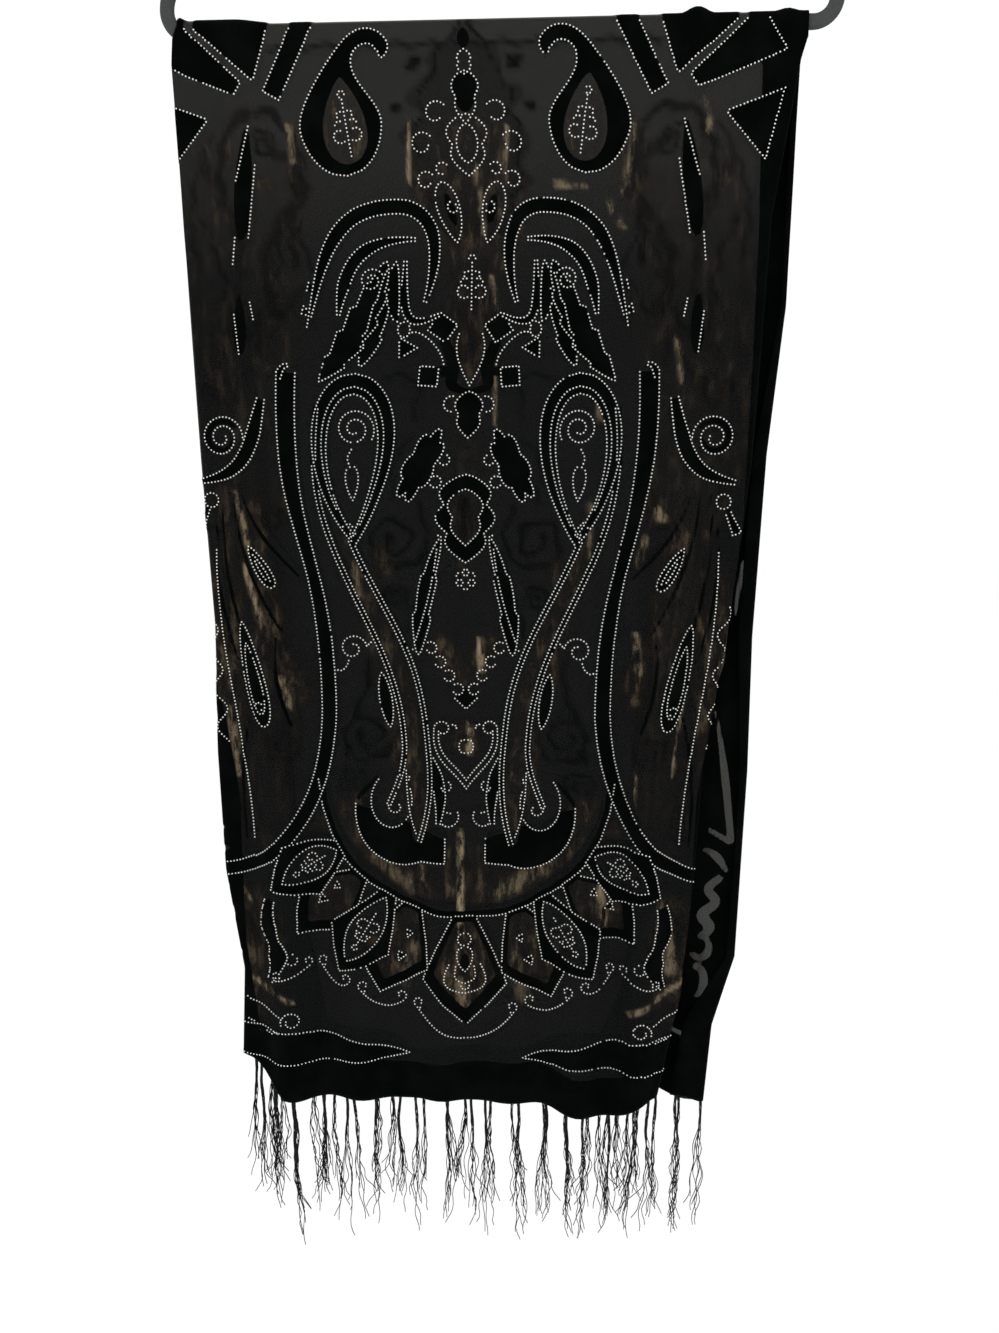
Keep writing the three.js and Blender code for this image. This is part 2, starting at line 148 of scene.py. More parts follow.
def makeClothMaterial():
    # burnt-out velvet (devore): black rayon pile left standing on see-through silk chiffon,
    # printed here and there with a dull metallic ink
    m = newMaterial("devoreVelvetOnChiffon")
    looks = clothLooks
    read = {name: addNode(m, "Attribute", {"attribute_name": name}).outputs["Fac"]
            for name in ("pile", "ghostAndShadow", "gold", "creaseHighlight", "low")}
    place = addNode(m, "TexCoord").outputs["Object"]
    coarse = addNode(m, "TexNoise", {"Scale": 38.0, "Detail": 4.0, "Roughness": 0.6}, Vector=place)
    fine = addNode(m, "TexNoise", {"Scale": 1000.0 / looks["tuft"], "Detail": 2.0}, Vector=place)
    hanging = addNode(m, "Mapping", {"Scale": (1.0, 1.0, 0.34)}, Vector=place)
    patchy = addNode(m, "TexNoise", {"Scale": 150.0, "Detail": 6.0, "Roughness": 0.72}, Vector=hanging)
    pileMask = addNode(m, "MapRange", {**softStep, "From Min": -0.35, "From Max": 0.35}, Value=read["pile"])

    # warp and weft, on the cloth's own flat map; a wave's period is 2 pi / 20 at scale 1
    flat = addNode(m, "UVMap")
    perThread = 2.0 * math.pi / 20.0 / (looks["threadPitch"] * mm)
    wave = {"wave_type": "BANDS", "Scale": perThread, "Distortion": 0.4, "Detail": 1.0}
    weave = [addNode(m, "TexWave", {**wave, "bands_direction": way}, Vector=flat).outputs["Fac"]
             for way in ("X", "Y")]
    threads = addNode(m, "Math", {"operation": "ADD"}, in0=weave[0], in1=weave[1])

    # the chiffon's colour is painted darker down the cloth, a painted shade, and painted lighter over the bar
    ground = addNode(m, "Mix",
                     {**colours, "clamp_factor": False, 6: linear(looks["sheerTop"]),
                      7: linear(looks["sheerLow"])},
                     in0=read["low"])
    ground = addNode(m, "Mix", {**colours, 7: linear(looks["charcoalAndShadow"])}, in0=read["ghostAndShadow"], in6=ground)
    goldWorn = addNode(m, "MapRange", {**softStep, "From Min": 0.36, "From Max": 0.58}, Value=patchy)
    inkWorn = addNode(m, "MapRange", {**softStep, "From Min": 0.5, "From Max": 0.72}, Value=patchy)
    ink = addNode(m, "Mix", {**colours, 6: linear(looks["brown"]), 7: linear(looks["brownWorn"])},
                  in0=inkWorn)
    gold = addNode(m, "Math", {"operation": "MULTIPLY"}, in0=read["gold"], in1=goldWorn)
    ground = addNode(m, "Mix", colours, in0=gold, in6=ground, in7=ink)
    # painted highlights along the creases, broken up by the patchy noise
    highlightBreakup = addNode(m, "MapRange", {**softStep, "From Min": 0.40, "From Max": 0.62}, Value=patchy)
    creaseHighlight = addNode(m, "Math", {"operation": "MULTIPLY"}, in0=read["creaseHighlight"], in1=highlightBreakup)
    ground = addNode(m, "Mix", {**colours, 7: linear(looks["tan"])}, in0=creaseHighlight, in6=ground)
    # the velvet is lightened in soft random patches: a painted sheen
    lean = addNode(m, "MapRange", {**softStep, "From Min": 0.35, "From Max": 0.75}, Value=coarse)
    velvetColour = addNode(m, "Mix",
                           {**colours, 6: linear(looks["velvet"]), 7: linear(looks["velvetRaised"])},
                           in0=lean)

    pileBump = addNode(m, "Bump", {"Strength": 0.5, "Distance": 0.6 * mm}, Height=fine)
    velvet = addNode(m, "BsdfPrincipled",
                     {"Roughness": 0.95, "IOR": 1.45, "Sheen Weight": 0.012, "Sheen Roughness": 0.4,
                      "Specular IOR Level": 0.015},
                     Base_Color=velvetColour, Normal=pileBump)
    threadBump = addNode(m, "Bump", {"Strength": 0.25, "Distance": 0.3 * mm}, Height=threads)
    sheer = addNode(m, "BsdfPrincipled", {"Roughness": 0.75, "IOR": 1.45, "Specular IOR Level": 0.04},
                    Base_Color=ground, Normal=threadBump)
    through = addNode(m, "BsdfTransparent", {"Color": (0.95, 0.95, 0.92, 1.0)})
    opacity = addNode(m, "MapRange",
                      {"From Min": 0.0, "From Max": 2.0, "To Min": looks["opacity"] - looks["weaveDepth"],
                       "To Max": looks["opacity"] + looks["weaveDepth"]}, Value=threads)
    # print, the painted shadow line and the painted highlights close up the chiffon
    printShadowAndHighlight = addNode(m, "Math", {"operation": "MAXIMUM"}, in0=gold, in1=creaseHighlight)
    printShadowAndHighlight = addNode(m, "Math", {"operation": "MAXIMUM"}, in0=printShadowAndHighlight, in1=read["ghostAndShadow"])
    closedUp = addNode(m, "Math", {"operation": "MULTIPLY_ADD", "use_clamp": True, 1: 0.14},
                       in0=printShadowAndHighlight, in2=opacity)
    chiffon = addNode(m, "MixShader", in0=closedUp, in1=through, in2=sheer)
    both = addNode(m, "MixShader", in0=pileMask, in1=chiffon, in2=velvet)
    addNode(m, "OutputMaterial", Surface=both)
    return m


def makeThreadMaterial():
    # twisted rayon fringe thread: black with a soft gloss along its length
    m = newMaterial("twistedRayonThread")
    place = addNode(m, "TexCoord").outputs["Object"]
    fibre = addNode(m, "TexNoise", {"Scale": 1400.0, "Detail": 2.0}, Vector=place)
    tone = addNode(m, "Mix", {**colours, 6: linear("#0a0a0b"), 7: linear("#232324")}, in0=fibre)
    bump = addNode(m, "Bump", {"Strength": 0.4, "Distance": 0.2 * mm}, Height=fibre)
    skin = addNode(m, "BsdfPrincipled", {"Roughness": 0.55, "IOR": 1.45, "Specular IOR Level": 0.12},
                   Base_Color=tone, Normal=bump)
    addNode(m, "OutputMaterial", Surface=skin)
    return m


def makeBeadMaterial():
    # pressed metal nailhead, silver plated: pale and softly shining
    m = newMaterial("silveredNailheadBead")
    place = addNode(m, "TexCoord").outputs["Object"]
    cloud = addNode(m, "TexNoise", {"Scale": 240.0, "Detail": 2.0}, Vector=place)
    tone = addNode(m, "Mix", {**colours, 6: linear("#d8d8d4"), 7: linear("#fafaf6")}, in0=cloud)
    skin = addNode(m, "BsdfPrincipled", {"Metallic": 0.35, "Roughness": 0.34}, Base_Color=tone)
    addNode(m, "OutputMaterial", Surface=skin)
    return m


def makeFlockMaterial():
    # nylon flock over moulded ABS: a matt grey nap of short hairs that catches no highlight
    m = newMaterial("greyNylonFlock")
    place = addNode(m, "TexCoord").outputs["Object"]
    nap = addNode(m, "TexNoise", {"Scale": 1600.0, "Detail": 3.0}, Vector=place)
    wear = addNode(m, "TexNoise", {"Scale": 45.0, "Detail": 4.0}, Vector=place)
    hairs = addNode(m, "MapRange", {**softStep, "From Min": 0.3, "From Max": 0.7}, Value=nap)
    tone = addNode(m, "Mix", {**colours, 6: linear("#3b3c3c"), 7: linear("#484949")}, in0=hairs)
    worn = addNode(m, "MapRange", {**softStep, "From Min": 0.45, "From Max": 0.8, "To Max": 0.35},
                   Value=wear)
    tone = addNode(m, "Mix", {**colours, 7: linear("#545553")}, in0=worn, in6=tone)
    bump = addNode(m, "Bump", {"Strength": 0.5, "Distance": 0.3 * mm}, Height=nap)
    skin = addNode(m, "BsdfPrincipled",
                   {"Roughness": 0.95, "IOR": 1.5, "Specular IOR Level": 0.05, "Sheen Weight": 0.05,
                    "Sheen Roughness": 0.5},
                   Base_Color=tone, Normal=bump)
    addNode(m, "OutputMaterial", Surface=skin)
    return m


def makeSteelMaterial():
    # drawn steel wire, bright zinc plated: fine marks run along it
    m = newMaterial("zincPlatedSteelWire")
    place = addNode(m, "TexCoord").outputs["Object"]
    squeeze = addNode(m, "Mapping", {"Scale": (1.0, 1.0, 0.12)}, Vector=place)
    marks = addNode(m, "TexNoise", {"Scale": 900.0, "Detail": 3.0}, Vector=squeeze)
    tone = addNode(m, "Mix", {**colours, 6: linear("#b4b7ba"), 7: linear("#d2d4d6")}, in0=marks)
    rough = addNode(m, "MapRange", {"To Min": 0.18, "To Max": 0.34}, Value=marks)
    skin = addNode(m, "BsdfPrincipled", {"Metallic": 1.0}, Base_Color=tone, Roughness=rough)
    addNode(m, "OutputMaterial", Surface=skin)
    return m


clothMaterial = makeClothMaterial()
threadMaterial = makeThreadMaterial()
beadMaterial = makeBeadMaterial()
flockMaterial = makeFlockMaterial()
steelMaterial = makeSteelMaterial()
print("materials made")


# The cloth's drape

cloth = {
    "halfWidth": 223.0,      # half of the flat width
    "axisX": -21.6,          # the pattern's axis, left of the hanger's middle
    "frontLength": 774.0,
    "backLength": 762.0,
    "lapLength": 6.0,        # the front piece goes over the bar and this far down behind it
    "saddle": -228.0,        # height of the middle of the bar's round top
    "restLevel": 3.9,        # mid wall to the plane through the bar
    "hangLevel": 5.4,        # the same where the cloth hangs free
    "hangMargin": 2.5,       # and where its turned margin hangs
    "tightTurn": 1.15,       # least radius of the turned edge at the bar
    "looseTurn": 3.0,        # and lower down
    "leastMargin": 3.0,
    "foldGrowth": 380.0,     # a fold reaches its full height over this drop
    "gatherFade": 90.0,      # the gathers at the bar's ends are gone below this
    "climbFade": 45.0,       # and so is the rise over the bar's turned-up end
    "cornerStart": 203.25,   # where the bar starts to turn up
    "cornerInside": 8.85,    # radius of that turn, inside
    "cornerReach": 0.72,     # how much of it the cloth climbs
    "wall": 0.7,             # chiffon with its print
    "pileHeight": 0.5,       # the velvet stands this much prouder
    "rowStep": 2.85,         # between the mesh's rows
    "mainColumns": 146,      # between its turned edges, then round each turn and under each margin
    "turnColumns": 6,
    "returnColumns": 6,
}

# drop below the bar, left edge, right edge
frontEdges = [(0, -187.6, 222), (8, -191, 222), (24, -192.5, 217), (120, -190, 203), (280, -185.5, 197),
              (400, -181, 186), (500, -183, 172), (600, -181, 168), (690, -170, 162), (774, -174, 147)]
backEdges = [(0, -187.6, 222), (8, -190, 222), (24, -191, 218), (175, -186, 217), (273, -180, 209),
             (400, -176, 205), (500, -172, 206), (646, -166, 203), (700, -162, 188), (762, -158, 184)]

# place at the hem, width, height, drop where it starts, lean
frontFolds = [(-141, 62, 11, 120, -9), (-84, 54, 7, 260, -4), (-20, 44, 4.5, 40, 2),
              (34, 50, 4, 220, 0), (86, 54, 8, 180, 6), (139, 56, 12, 60, 14)]
backFolds = [(-128, 66, 10, 90, -12), (-66, 56, 8, 240, -4), (2, 60, 6, 160, 3),
             (74, 62, 9, 110, 5), (150, 60, 10, 200, 8)]

# gathers at the bar: place, width, height
gathers = [(152, 24, 3.6), (210, 18, 1.6)]

# hem corners that hang shorter: flat place where the lift starts, where it is full, height at the hem
frontLifts = [(96, 52, 9), (-142, -182, 34), (112, 160, 23)]
backLifts = [(-140, -172, 12), (150, 186, -5), (188, 222, 7)]

# fine creases: place, width, height, from drop, to drop, lean over that length
frontCreases = [(-37, 7, 0.9, 20, 190, 3), (27, 8, 1.0, 40, 300, -6), (-3, 9, 1.2, 480, 740, -4),
                (-150, 12, 0.9, 20, 320, 8), (-118, 10, 0.7, 30, 230, 3), (108, 12, 0.9, 40, 260, -6),
                (156, 10, 1.1, 10, 380, -10), (90, 9, 0.8, 220, 420, 4), (-96, 10, 0.7, 300, 520, 8),
                (62, 12, 0.8, 520, 774, 5), (104, 10, 1.3, 540, 700, -3), (-60, 14, 0.8, 560, 774, -4),
                (-170, 9, 1.2, 330, 640, 6), (178, 9, 1.0, 120, 420, -4), (6, 14, 0.6, 200, 420, 2),
                (-122, 12, 0.9, 600, 774, -5), (40, 9, 0.7, 90, 230, 4), (-72, 9, 0.6, 10, 150, -4)]
backCreases = [(-150, 10, 1.0, 10, 330, 6), (-96, 12, 0.8, 60, 420, -5), (-40, 9, 0.9, 20, 260, 3),
               (24, 10, 0.8, 200, 560, -4), (58, 12, 0.9, 30, 330, 5), (118, 10, 1.1, 40, 420, -6),
               (176, 9, 1.0, 80, 520, 3), (-120, 13, 1.0, 420, 762, -6), (-20, 12, 0.9, 480, 762, 4),
               (96, 12, 1.0, 460, 762, 5), (-160, 9, 0.8, 380, 700, 4), (140, 12, 0.9, 520, 762, -4)]

falls = {
    "front": {"edges": frontEdges, "folds": frontFolds, "lifts": frontLifts, "creases": frontCreases,
              "length": cloth["frontLength"], "turn": 0.0},
    "back": {"edges": backEdges, "folds": backFolds, "lifts": backLifts, "creases": backCreases,
             "length": cloth["backLength"], "turn": math.pi},
}


def marginLevel(drop):
    return mix(cloth["restLevel"], cloth["hangMargin"], smooth(drop, 12, 110))


def leastTurn(drop):
    return mix(cloth["tightTurn"], cloth["looseTurn"], smooth(drop, 8, 260))


def clothLevel(fall, u, drop):
    middle = mix(cloth["restLevel"], cloth["hangLevel"], smooth(drop, 20, 300))
    leftEdge = marginLevel(drop) + 2 * leastTurn(drop)
    rightEdge = marginLevel(drop) + 2 * leastTurn(drop) * smooth(drop, 6, 70)
    level = (middle + (leftEdge - middle) * smooth(-u, 124, 152)
             + (rightEdge - middle) * smooth(u, 118, 150))
    for at, wide, high, start, lean in fall["folds"]:
        grown = smooth(drop, start, start + cloth["foldGrowth"])
        level = level + high * grown * ridge(u, at + lean * (1 - drop / fall["length"]), wide)
    for at, wide, high in gathers:
        level = level + high * (1 - smooth(drop, 0, cloth["gatherFade"])) * ridge(u, at, wide)
    for at, wide, high, start, end, lean in fall["creases"]:
        share = (drop - start) / (end - start)
        if 0 < share < 1:
            grown = math.sin(math.pi * share) ** 0.7
            level = level + high * grown * ridge(u, at + lean * (share - 0.5), wide)
    return level


class halfSection:
    # half of a row: the cloth that shows, its turned edge and the margin that goes back under it
    def __init__(self, fall, side, drop):
        step = 0.5
        self.side = side
        self.u = np.arange(0.0, cloth["halfWidth"] + step / 2, step)
        self.level = clothLevel(fall, side * self.u, drop)
        run = np.sqrt(np.maximum(0.05 * step * step, step * step - np.diff(self.level) ** 2))
        self.x = np.concatenate([[0.0], np.cumsum(run)])
        column = 1 if side < 0 else 2
        edge = abs(np.interp(drop, [e[0] for e in fall["edges"]], [e[column] for e in fall["edges"]]))
        # halve the range until the turned edge comes out at its place
        low, high = 0.0, cloth["halfWidth"]
        for _ in range(30):
            u = (low + high) / 2
            radius = self.turnRadius(u, drop)
            reach = np.interp(u, self.u, self.x) + radius * math.sin(
                min((cloth["halfWidth"] - u) / radius, math.pi / 2))
            low, high = (u, high) if reach < edge else (low, u)
        self.turnAt = (low + high) / 2
        self.radius = self.turnRadius(self.turnAt, drop)
        self.mainEnd = min(self.turnAt, cloth["halfWidth"] - cloth["leastMargin"])
        self.bent = min(math.pi * self.radius, 0.9 * (cloth["halfWidth"] - self.mainEnd))

    def turnRadius(self, u, drop):
        level = np.interp(u, self.u, self.level)
        return max(float(leastTurn(drop)), float(level - marginLevel(drop)) / 2)

    def read(self, u):
        # flat place, place across, level, and place in the pattern as it hangs
        past = np.maximum(0.0, u - self.turnAt)
        angle = np.minimum(past / self.radius, math.pi)
        flat = np.maximum(0.0, past - math.pi * self.radius)
        seen = np.minimum(u, self.turnAt)
        x = np.interp(seen, self.u, self.x)
        level = np.interp(seen, self.u, self.level)
        return np.stack([self.side * u, self.side * (x + self.radius * np.sin(angle) - flat),
                         level - self.radius * (1 - np.cos(angle)), self.side * (x + past)], axis=1)


def climbOnCorner(x):
    inside = cloth["cornerInside"]
    past = np.clip(np.abs(x) - cloth["cornerStart"], 0.0, cloth["cornerReach"] * inside)
    return inside - np.sqrt(inside * inside - past * past)


def sectionRow(fall, drop, lap):
    # one row of the cloth from selvedge to selvedge: x, y, z, then flat place, pattern place, drop seen
    left, right = halfSection(fall, -1, drop), halfSection(fall, 1, drop)
    half = cloth["mainColumns"] // 2
    shares = np.linspace(0.0, 1.0, half + 1)
    turn = np.arange(1, cloth["turnColumns"] + 1) / cloth["turnColumns"]
    back = np.arange(1, cloth["returnColumns"] + 1) / cloth["returnColumns"]

    def places(side):
        return np.concatenate([shares * side.mainEnd, side.mainEnd + side.bent * turn,
                               side.mainEnd + side.bent
                               + (cloth["halfWidth"] - side.mainEnd - side.bent) * back])

    spots = np.concatenate([left.read(places(left))[:0:-1], right.read(places(right))])
    x = cloth["axisX"] + spots[:, 1]
    lift = climbOnCorner(x) * (1 - smooth(drop, 0, cloth["climbFade"]))
    for start, end, high in fall["lifts"]:
        lift = lift + high * smooth(spots[:, 0], start, end) * (drop / fall["length"]) ** 3
    z = cloth["saddle"] - drop + lift + spots[:, 2] * math.sin(lap)
    seen = drop - lift * smooth(drop, 60, 200)
    return np.stack([x, -spots[:, 2] * math.cos(lap), z, spots[:, 0], spots[:, 3],
                     seen, np.full_like(x, drop)], axis=1)


lapRows = (cloth["lapLength"], cloth["lapLength"] / 2)
foldSteps = 10


def clothGrid(name):
    fall = falls[name]
    count = int(round(fall["length"] / cloth["rowStep"]))
    rows = []
    if name == "front":
        rows += [sectionRow(falls["back"], drop, math.pi) for drop in lapRows]
        rows += [sectionRow(fall, 0.0, math.pi * (1 - i / foldSteps)) for i in range(foldSteps + 1)]
        drops = np.linspace(0.0, fall["length"], count + 1)[1:]
    else:
        drops = np.linspace(cloth["lapLength"], fall["length"], count + 1)
    rows += [sectionRow(fall, float(d), fall["turn"]) for d in drops]
    grid = np.array(rows)
    return grid if name == "front" else grid[:, ::-1]   # so that both faces look outwards


def faceNormals(grid):
    along = np.gradient(grid[:, :, :3], axis=0)
    across = np.gradient(grid[:, :, :3], axis=1)
    return unit(np.cross(along, across))


def shellFaces(rows, columns):
    r, c = np.meshgrid(np.arange(rows - 1), np.arange(columns - 1), indexing="ij")
    a = (r * columns + c).ravel()
    face = np.stack([a, a + columns, a + columns + 1, a + 1], axis=1)
    inner = face[:, ::-1] + rows * columns
    rim = ([(0, j) for j in range(columns)] + [(i, columns - 1) for i in range(1, rows)]
           + [(rows - 1, j) for j in range(columns - 2, -1, -1)] + [(i, 0) for i in range(rows - 2, 0, -1)])
    ids = np.array([i * columns + j for i, j in rim])
    step = np.roll(ids, -1)
    side = np.stack([ids, step, step + rows * columns, ids + rows * columns], axis=1)
    return np.concatenate([face, inner, side]).tolist()


def clothShell(name, grid, marks):
    # a closed wall: the face side carries the pile, the wrong side is plain
    rows, columns = grid.shape[:2]
    outward = faceNormals(grid)
    relief = cloth["pileHeight"] * smooth(marks["pile"], -0.8, 0.8)[:, :, None]
    outer = grid[:, :, :3] + outward * (cloth["wall"] / 2 + relief)
    inner = grid[:, :, :3] - outward * cloth["wall"] / 2
    points = np.concatenate([outer.reshape(-1, 3), inner.reshape(-1, 3)])
    piece = meshPiece(name, points, shellFaces(rows, columns), clothMaterial)
    mesh = piece.data
    for key, values in marks.items():
        layer = mesh.attributes.new(key, "FLOAT", "POINT")
        layer.data.foreach_set("value", np.tile(values.ravel(), 2).astype(np.float32))
    uvs = np.stack([grid[:, :, 3].ravel(), -grid[:, :, 6].ravel()], axis=1) * mm
    uvs = np.tile(uvs, (2, 1))
    corners = np.zeros(len(mesh.loops), dtype=np.int64)
    mesh.loops.foreach_get("vertex_index", corners)
    mesh.uv_layers.new(name="flat").data.foreach_set("uv", uvs[corners].ravel())
    return piece, outer, outward


# The pattern, in mm: distance from the axis, and drop below the bar
# An ordinary paisley and scroll layout, the same on both sides of the axis and at both ends.
# Each motif is a formula set at a place, a size and a turn. Headings are in degrees: 0 points
# away from the axis and 90 down the cloth.

pile, ghostsAndShadow, patches, beads, covers = [], [], [], [], []


def heading(degrees):
    way = np.radians(degrees)
    return np.stack([np.cos(way), np.sin(way)], axis=-1)


def bow(start, end, leave, arrive, pull=0.38):
    # a curve that leaves and arrives at these headings
    start, end = np.array(start, dtype=float), np.array(end, dtype=float)
    long = np.hypot(*(end - start))
    a = start + pull * long * heading(leave)
    b = end - pull * long * heading(arrive)
    t = np.linspace(0, 1, max(6, int(long / 3)))[:, None]
    return (1 - t) ** 3 * start + 3 * (1 - t) ** 2 * t * a + 3 * (1 - t) * t ** 2 * b + t ** 3 * end


def arc(x, y, wide, high, start=0, end=360):
    t = np.linspace(start, end, max(9, int(abs(end - start) / 9)))
    return np.array([x, y]) + heading(t) * [wide, high]


def spiral(x, y, outer, inner, start, turns):
    t = np.linspace(0, 1, int(abs(turns) * 36) + 8)
    return np.array([x, y]) + heading(start + 360 * turns * t) * mix(outer, inner, t)[:, None]


def beside(path, gap):
    way = unit(np.gradient(path, axis=0))
    return path + np.reshape(gap, (-1, 1)) * np.stack([-way[:, 1], way[:, 0]], axis=1)


def around(path, half):
    # the outline of a band with this half width along its path
    return np.concatenate([beside(path, half), beside(path, -half)[::-1]])


def runFrom(start, end):
    # a start, the run to the end, and the unit way aside of it
    start, run = np.array(start, dtype=float), np.subtract(end, start)
    return start, run, np.array([-run[1], run[0]]) / np.hypot(*run)


def bellied(t, belly, sharp):
    # how a leaf's width runs along it: round where sharp is 1, pointed where it is more
    half = t ** (sharp * belly) * (1 - t) ** (sharp * (1 - belly))
    return half / half.max()


def leaf(start, end, wide, belly=0.5, sharp=1.4, bend=0.0, teeth=0):
    start, run, aside = runFrom(start, end)
    t = 0.5 - 0.5 * np.cos(np.linspace(0, np.pi, 24 + 8 * teeth))
    half = wide / 2 * bellied(t, belly, sharp) * (1 - 0.32 * ((teeth * t) % 1.0))
    middle = start + t[:, None] * run + (bend * 4 * t * (1 - t))[:, None] * aside
    return np.concatenate([middle + half[:, None] * aside, (middle - half[:, None] * aside)[::-1]])


def paisley(x, y, long, wide, leave, curl, hook=2.5, thin=0.0):
    # a drop, round where it starts, whose tip curls over; thin keeps a narrow hook from closing up
    t = np.linspace(0, 1, 64)
    spine = np.array([x, y]) + np.cumsum(heading(leave + curl * t ** hook), axis=0) * long / 64
    half = wide / 2 * bellied(t, 0.36, 1.4)
    if thin:
        half = mix(half, thin * wide / 2, smooth(t, 0.24, 0.74)) * (1 - 0.7 * smooth(t, 0.94, 1.0))
    return around(spine, half)


def kite(foot, tip, wide, narrow=0.26):
    # a petal with a narrow foot, square shoulders and a pointed tip
    foot, run, aside = runFrom(foot, tip)
    shape = [(0, narrow), (0.3, 0.68), (0.58, 1), (0.8, 0.54), (1, 0)]
    return np.array([foot + share * run + half * aside * wide / 2 for share, half in shape]
                    + [foot + share * run - half * aside * wide / 2 for share, half in shape[-2::-1]])


def scalloped(x, y, wide, high, lobes, turn=0, depth=0.24):
    t = np.linspace(0, 360, 12 * lobes, endpoint=False)
    out = heading(t) * [wide, high] * (1 - depth + depth * np.abs(np.sin(np.radians(t * lobes / 2))))[:, None]
    return np.array([x, y]) + out[:, :1] * heading(turn) + out[:, 1:] * heading(turn + 90)


def onAxis(top, bottom, wide, lobes=1, belly=0.5, sharp=1.2, depth=0.3):
    # half of a shape that stands on the axis
    t = np.linspace(0, 1, 14 * lobes + 8)
    dent = depth * (1 - np.abs(np.sin(np.pi * lobes * t))) if lobes > 1 else 0.0
    half = wide * bellied(t, belly, sharp) * (1 - dent)
    return np.stack([half, mix(top, bottom, t)], axis=1)


def corners(x, y, radius, sides, turn=0):
    return np.array([x, y]) + radius * heading(turn + 360 * np.arange(sides) / sides)


def taper(start, end, wide, narrow):
    return around(line([start, end]), np.array([wide, narrow]) / 2)


def swag(start, end, sag, curl):
    # a hanging line with a curl at each end
    start, run, _ = runFrom(start, end)
    t = np.linspace(0, 1, 16)[:, None]
    side = 1 if run[0] > 0 else -1
    lines = [start + t * run + [0, 4 * sag] * t * (1 - t),
             spiral(start[0] + side * curl * 0.3, start[1] - curl, curl, curl * 0.4, 100, side * 0.85),
             spiral(end[0] - side * curl * 0.3, end[1] - curl, curl, curl * 0.4, 80, -side * 0.85)]
    return lines if end[0] > 0 else lines[:2]       # the middle swag runs on across the axis


def sprig(foot, tip, size, pairs=3):
    # a stem with pairs of curled leaves and a bud
    foot, run, _ = runFrom(foot, tip)
    tilt = math.degrees(math.atan2(run[1], run[0]))
    lines = [line([foot, foot + run])]
    for i in range(pairs):
        r = size * (1 - 0.22 * i)
        for side in (1, -1):
            middle = foot + run * (0.3 + 0.6 * i / pairs) + r * 1.25 * heading(tilt + side * 62)
            lines.append(spiral(*middle, r, r * 0.7, tilt + side * 242, -side * 0.72))
    lines.append(arc(*(foot + run * 1.09), size * 0.45, size * 0.45))
    return lines


def line(points):
    return np.array(points, dtype=float)


def closed(outline):
    return np.concatenate([outline, outline[:1]])


def sew(*paths):
    beads.extend(paths)


def sewRound(outline):
    # an outline that starts on the axis stays open there
    sew(outline if abs(outline[0, 0]) < 0.01 else closed(outline))


def pileArea(outline, edged=True):
    pile.append(("area", outline))
    if edged:
        sewRound(outline)


def burn(outline):
    # the pile is burnt away within it
    pile.append(("cut", outline))


def pileRim(outer, inner):
    pileArea(outer)
    burn(inner)
    sewRound(inner)


def halfAlong(path, widths):
    # half of a width that runs through these values along the path
    return np.interp(np.linspace(0, 1, len(path)), np.linspace(0, 1, len(widths)), widths) / 2


def pileBand(path, widths, edged=True):
    half = halfAlong(path, widths)
    pileArea(around(path, half), False)
    if edged:
        sew(beside(path, half), beside(path, -half))


def burntBand(path, widths):
    burn(around(path, halfAlong(path, widths)))


def ghostAndShadowBands(bands):
    # dark print along each path, and the painted shadow line under the bar: path, width, strength
    ghostsAndShadow.extend(("band", *band) for band in bands)


# bars that fan out from the corners at the bar: start, end, width at each
for bar in (((200, 6), (150, 37), 32, 9), ((151, -9), (140, 31), 58, 2), ((102, -9), (128, 41), 13, 12),
            ((202, 64), (172, 56), 44, 2)):
    pileArea(taper(*bar))

# paisleys at the top, hooked towards the axis
pileArea(paisley(79, 93, 116, 56, -84, -210, 4.5, 0.16))
burn(leaf((78, 84), (82, 30), 29, 0.36))
patches.append((leaf((78, 84), (82, 30), 28, 0.36), 0.8))
sew(*sprig((76, 79), (81, 44), 4.8))

# bud, vase and tails of the finial, with curls beside it
pileArea(onAxis(2, 15, 4), False)
pileArea(onAxis(28, 54, 8, 1, 0.4), False)
sew(onAxis(15, 30, 5, 2), onAxis(28, 60, 9, 2, 0.35), onAxis(54, 92, 14, 2, 0.4), onAxis(60, 84, 7))
for x, y, size, turns in ((20, 53, 7.5, 0.75), (30, 72, 7.5, 0.85), (29, 95, 6, 0.8), (18, 88, 4.5, 0.8)):
    sew(spiral(x, y, size, size * 0.6, 220, turns))
sew(closed(leaf((19, 96), (10, 134), 15, 0.4)), spiral(12, 112, 4, 2.6, -60, 0.8))
pileArea(leaf((17, 102), (11, 124), 6), False)
ghostsAndShadow.append(("area", onAxis(0, 138, 44, 5, 0.55), 0.45))
sew(*sprig((0, 177), (0, 147), 5.0))
ghostsAndShadow.append(("area", onAxis(138, 224, 15, 1, 0.4), 0.3))

# great arches that lean outwards, thorned at the foot, each with a smaller arch within
arch = np.concatenate([bow((109, 188), (50, 111), -104, 180, 0.45), bow((47, 111), (31, 172), 176, 70, 0.42)])
pileBand(arch, (1, 4, 7, 9, 9, 9, 9, 8, 6, 2))
for at in (3, 7):
    pileArea(corners(*(arch[at] + [4.5, 2.0]), 4, 3, -75))
small = bow((88, 180), (38, 132), -97, 178, 0.5)
pileBand(small, (2, 8, 8, 8, 5, 2))
sew(spiral(66, 158, 8, 3, -150, 1.3))

# leaves that fan out of the smaller arch
pileArea(leaf((56, 146), (102, 224), 22, 0.5, 1.4, 5, 5))
pileArea(leaf((56, 152), (74, 214), 13, 0.62, 1.4, 3, 3))
pileArea(leaf((50, 146), (50, 186), 8, 0.5, 1.4, -2))
pileBand(bow((44, 146), (22, 181), 88, 205, 0.7), (2, 5, 5, 2))
sew(arc(45, 190, 4, 5))

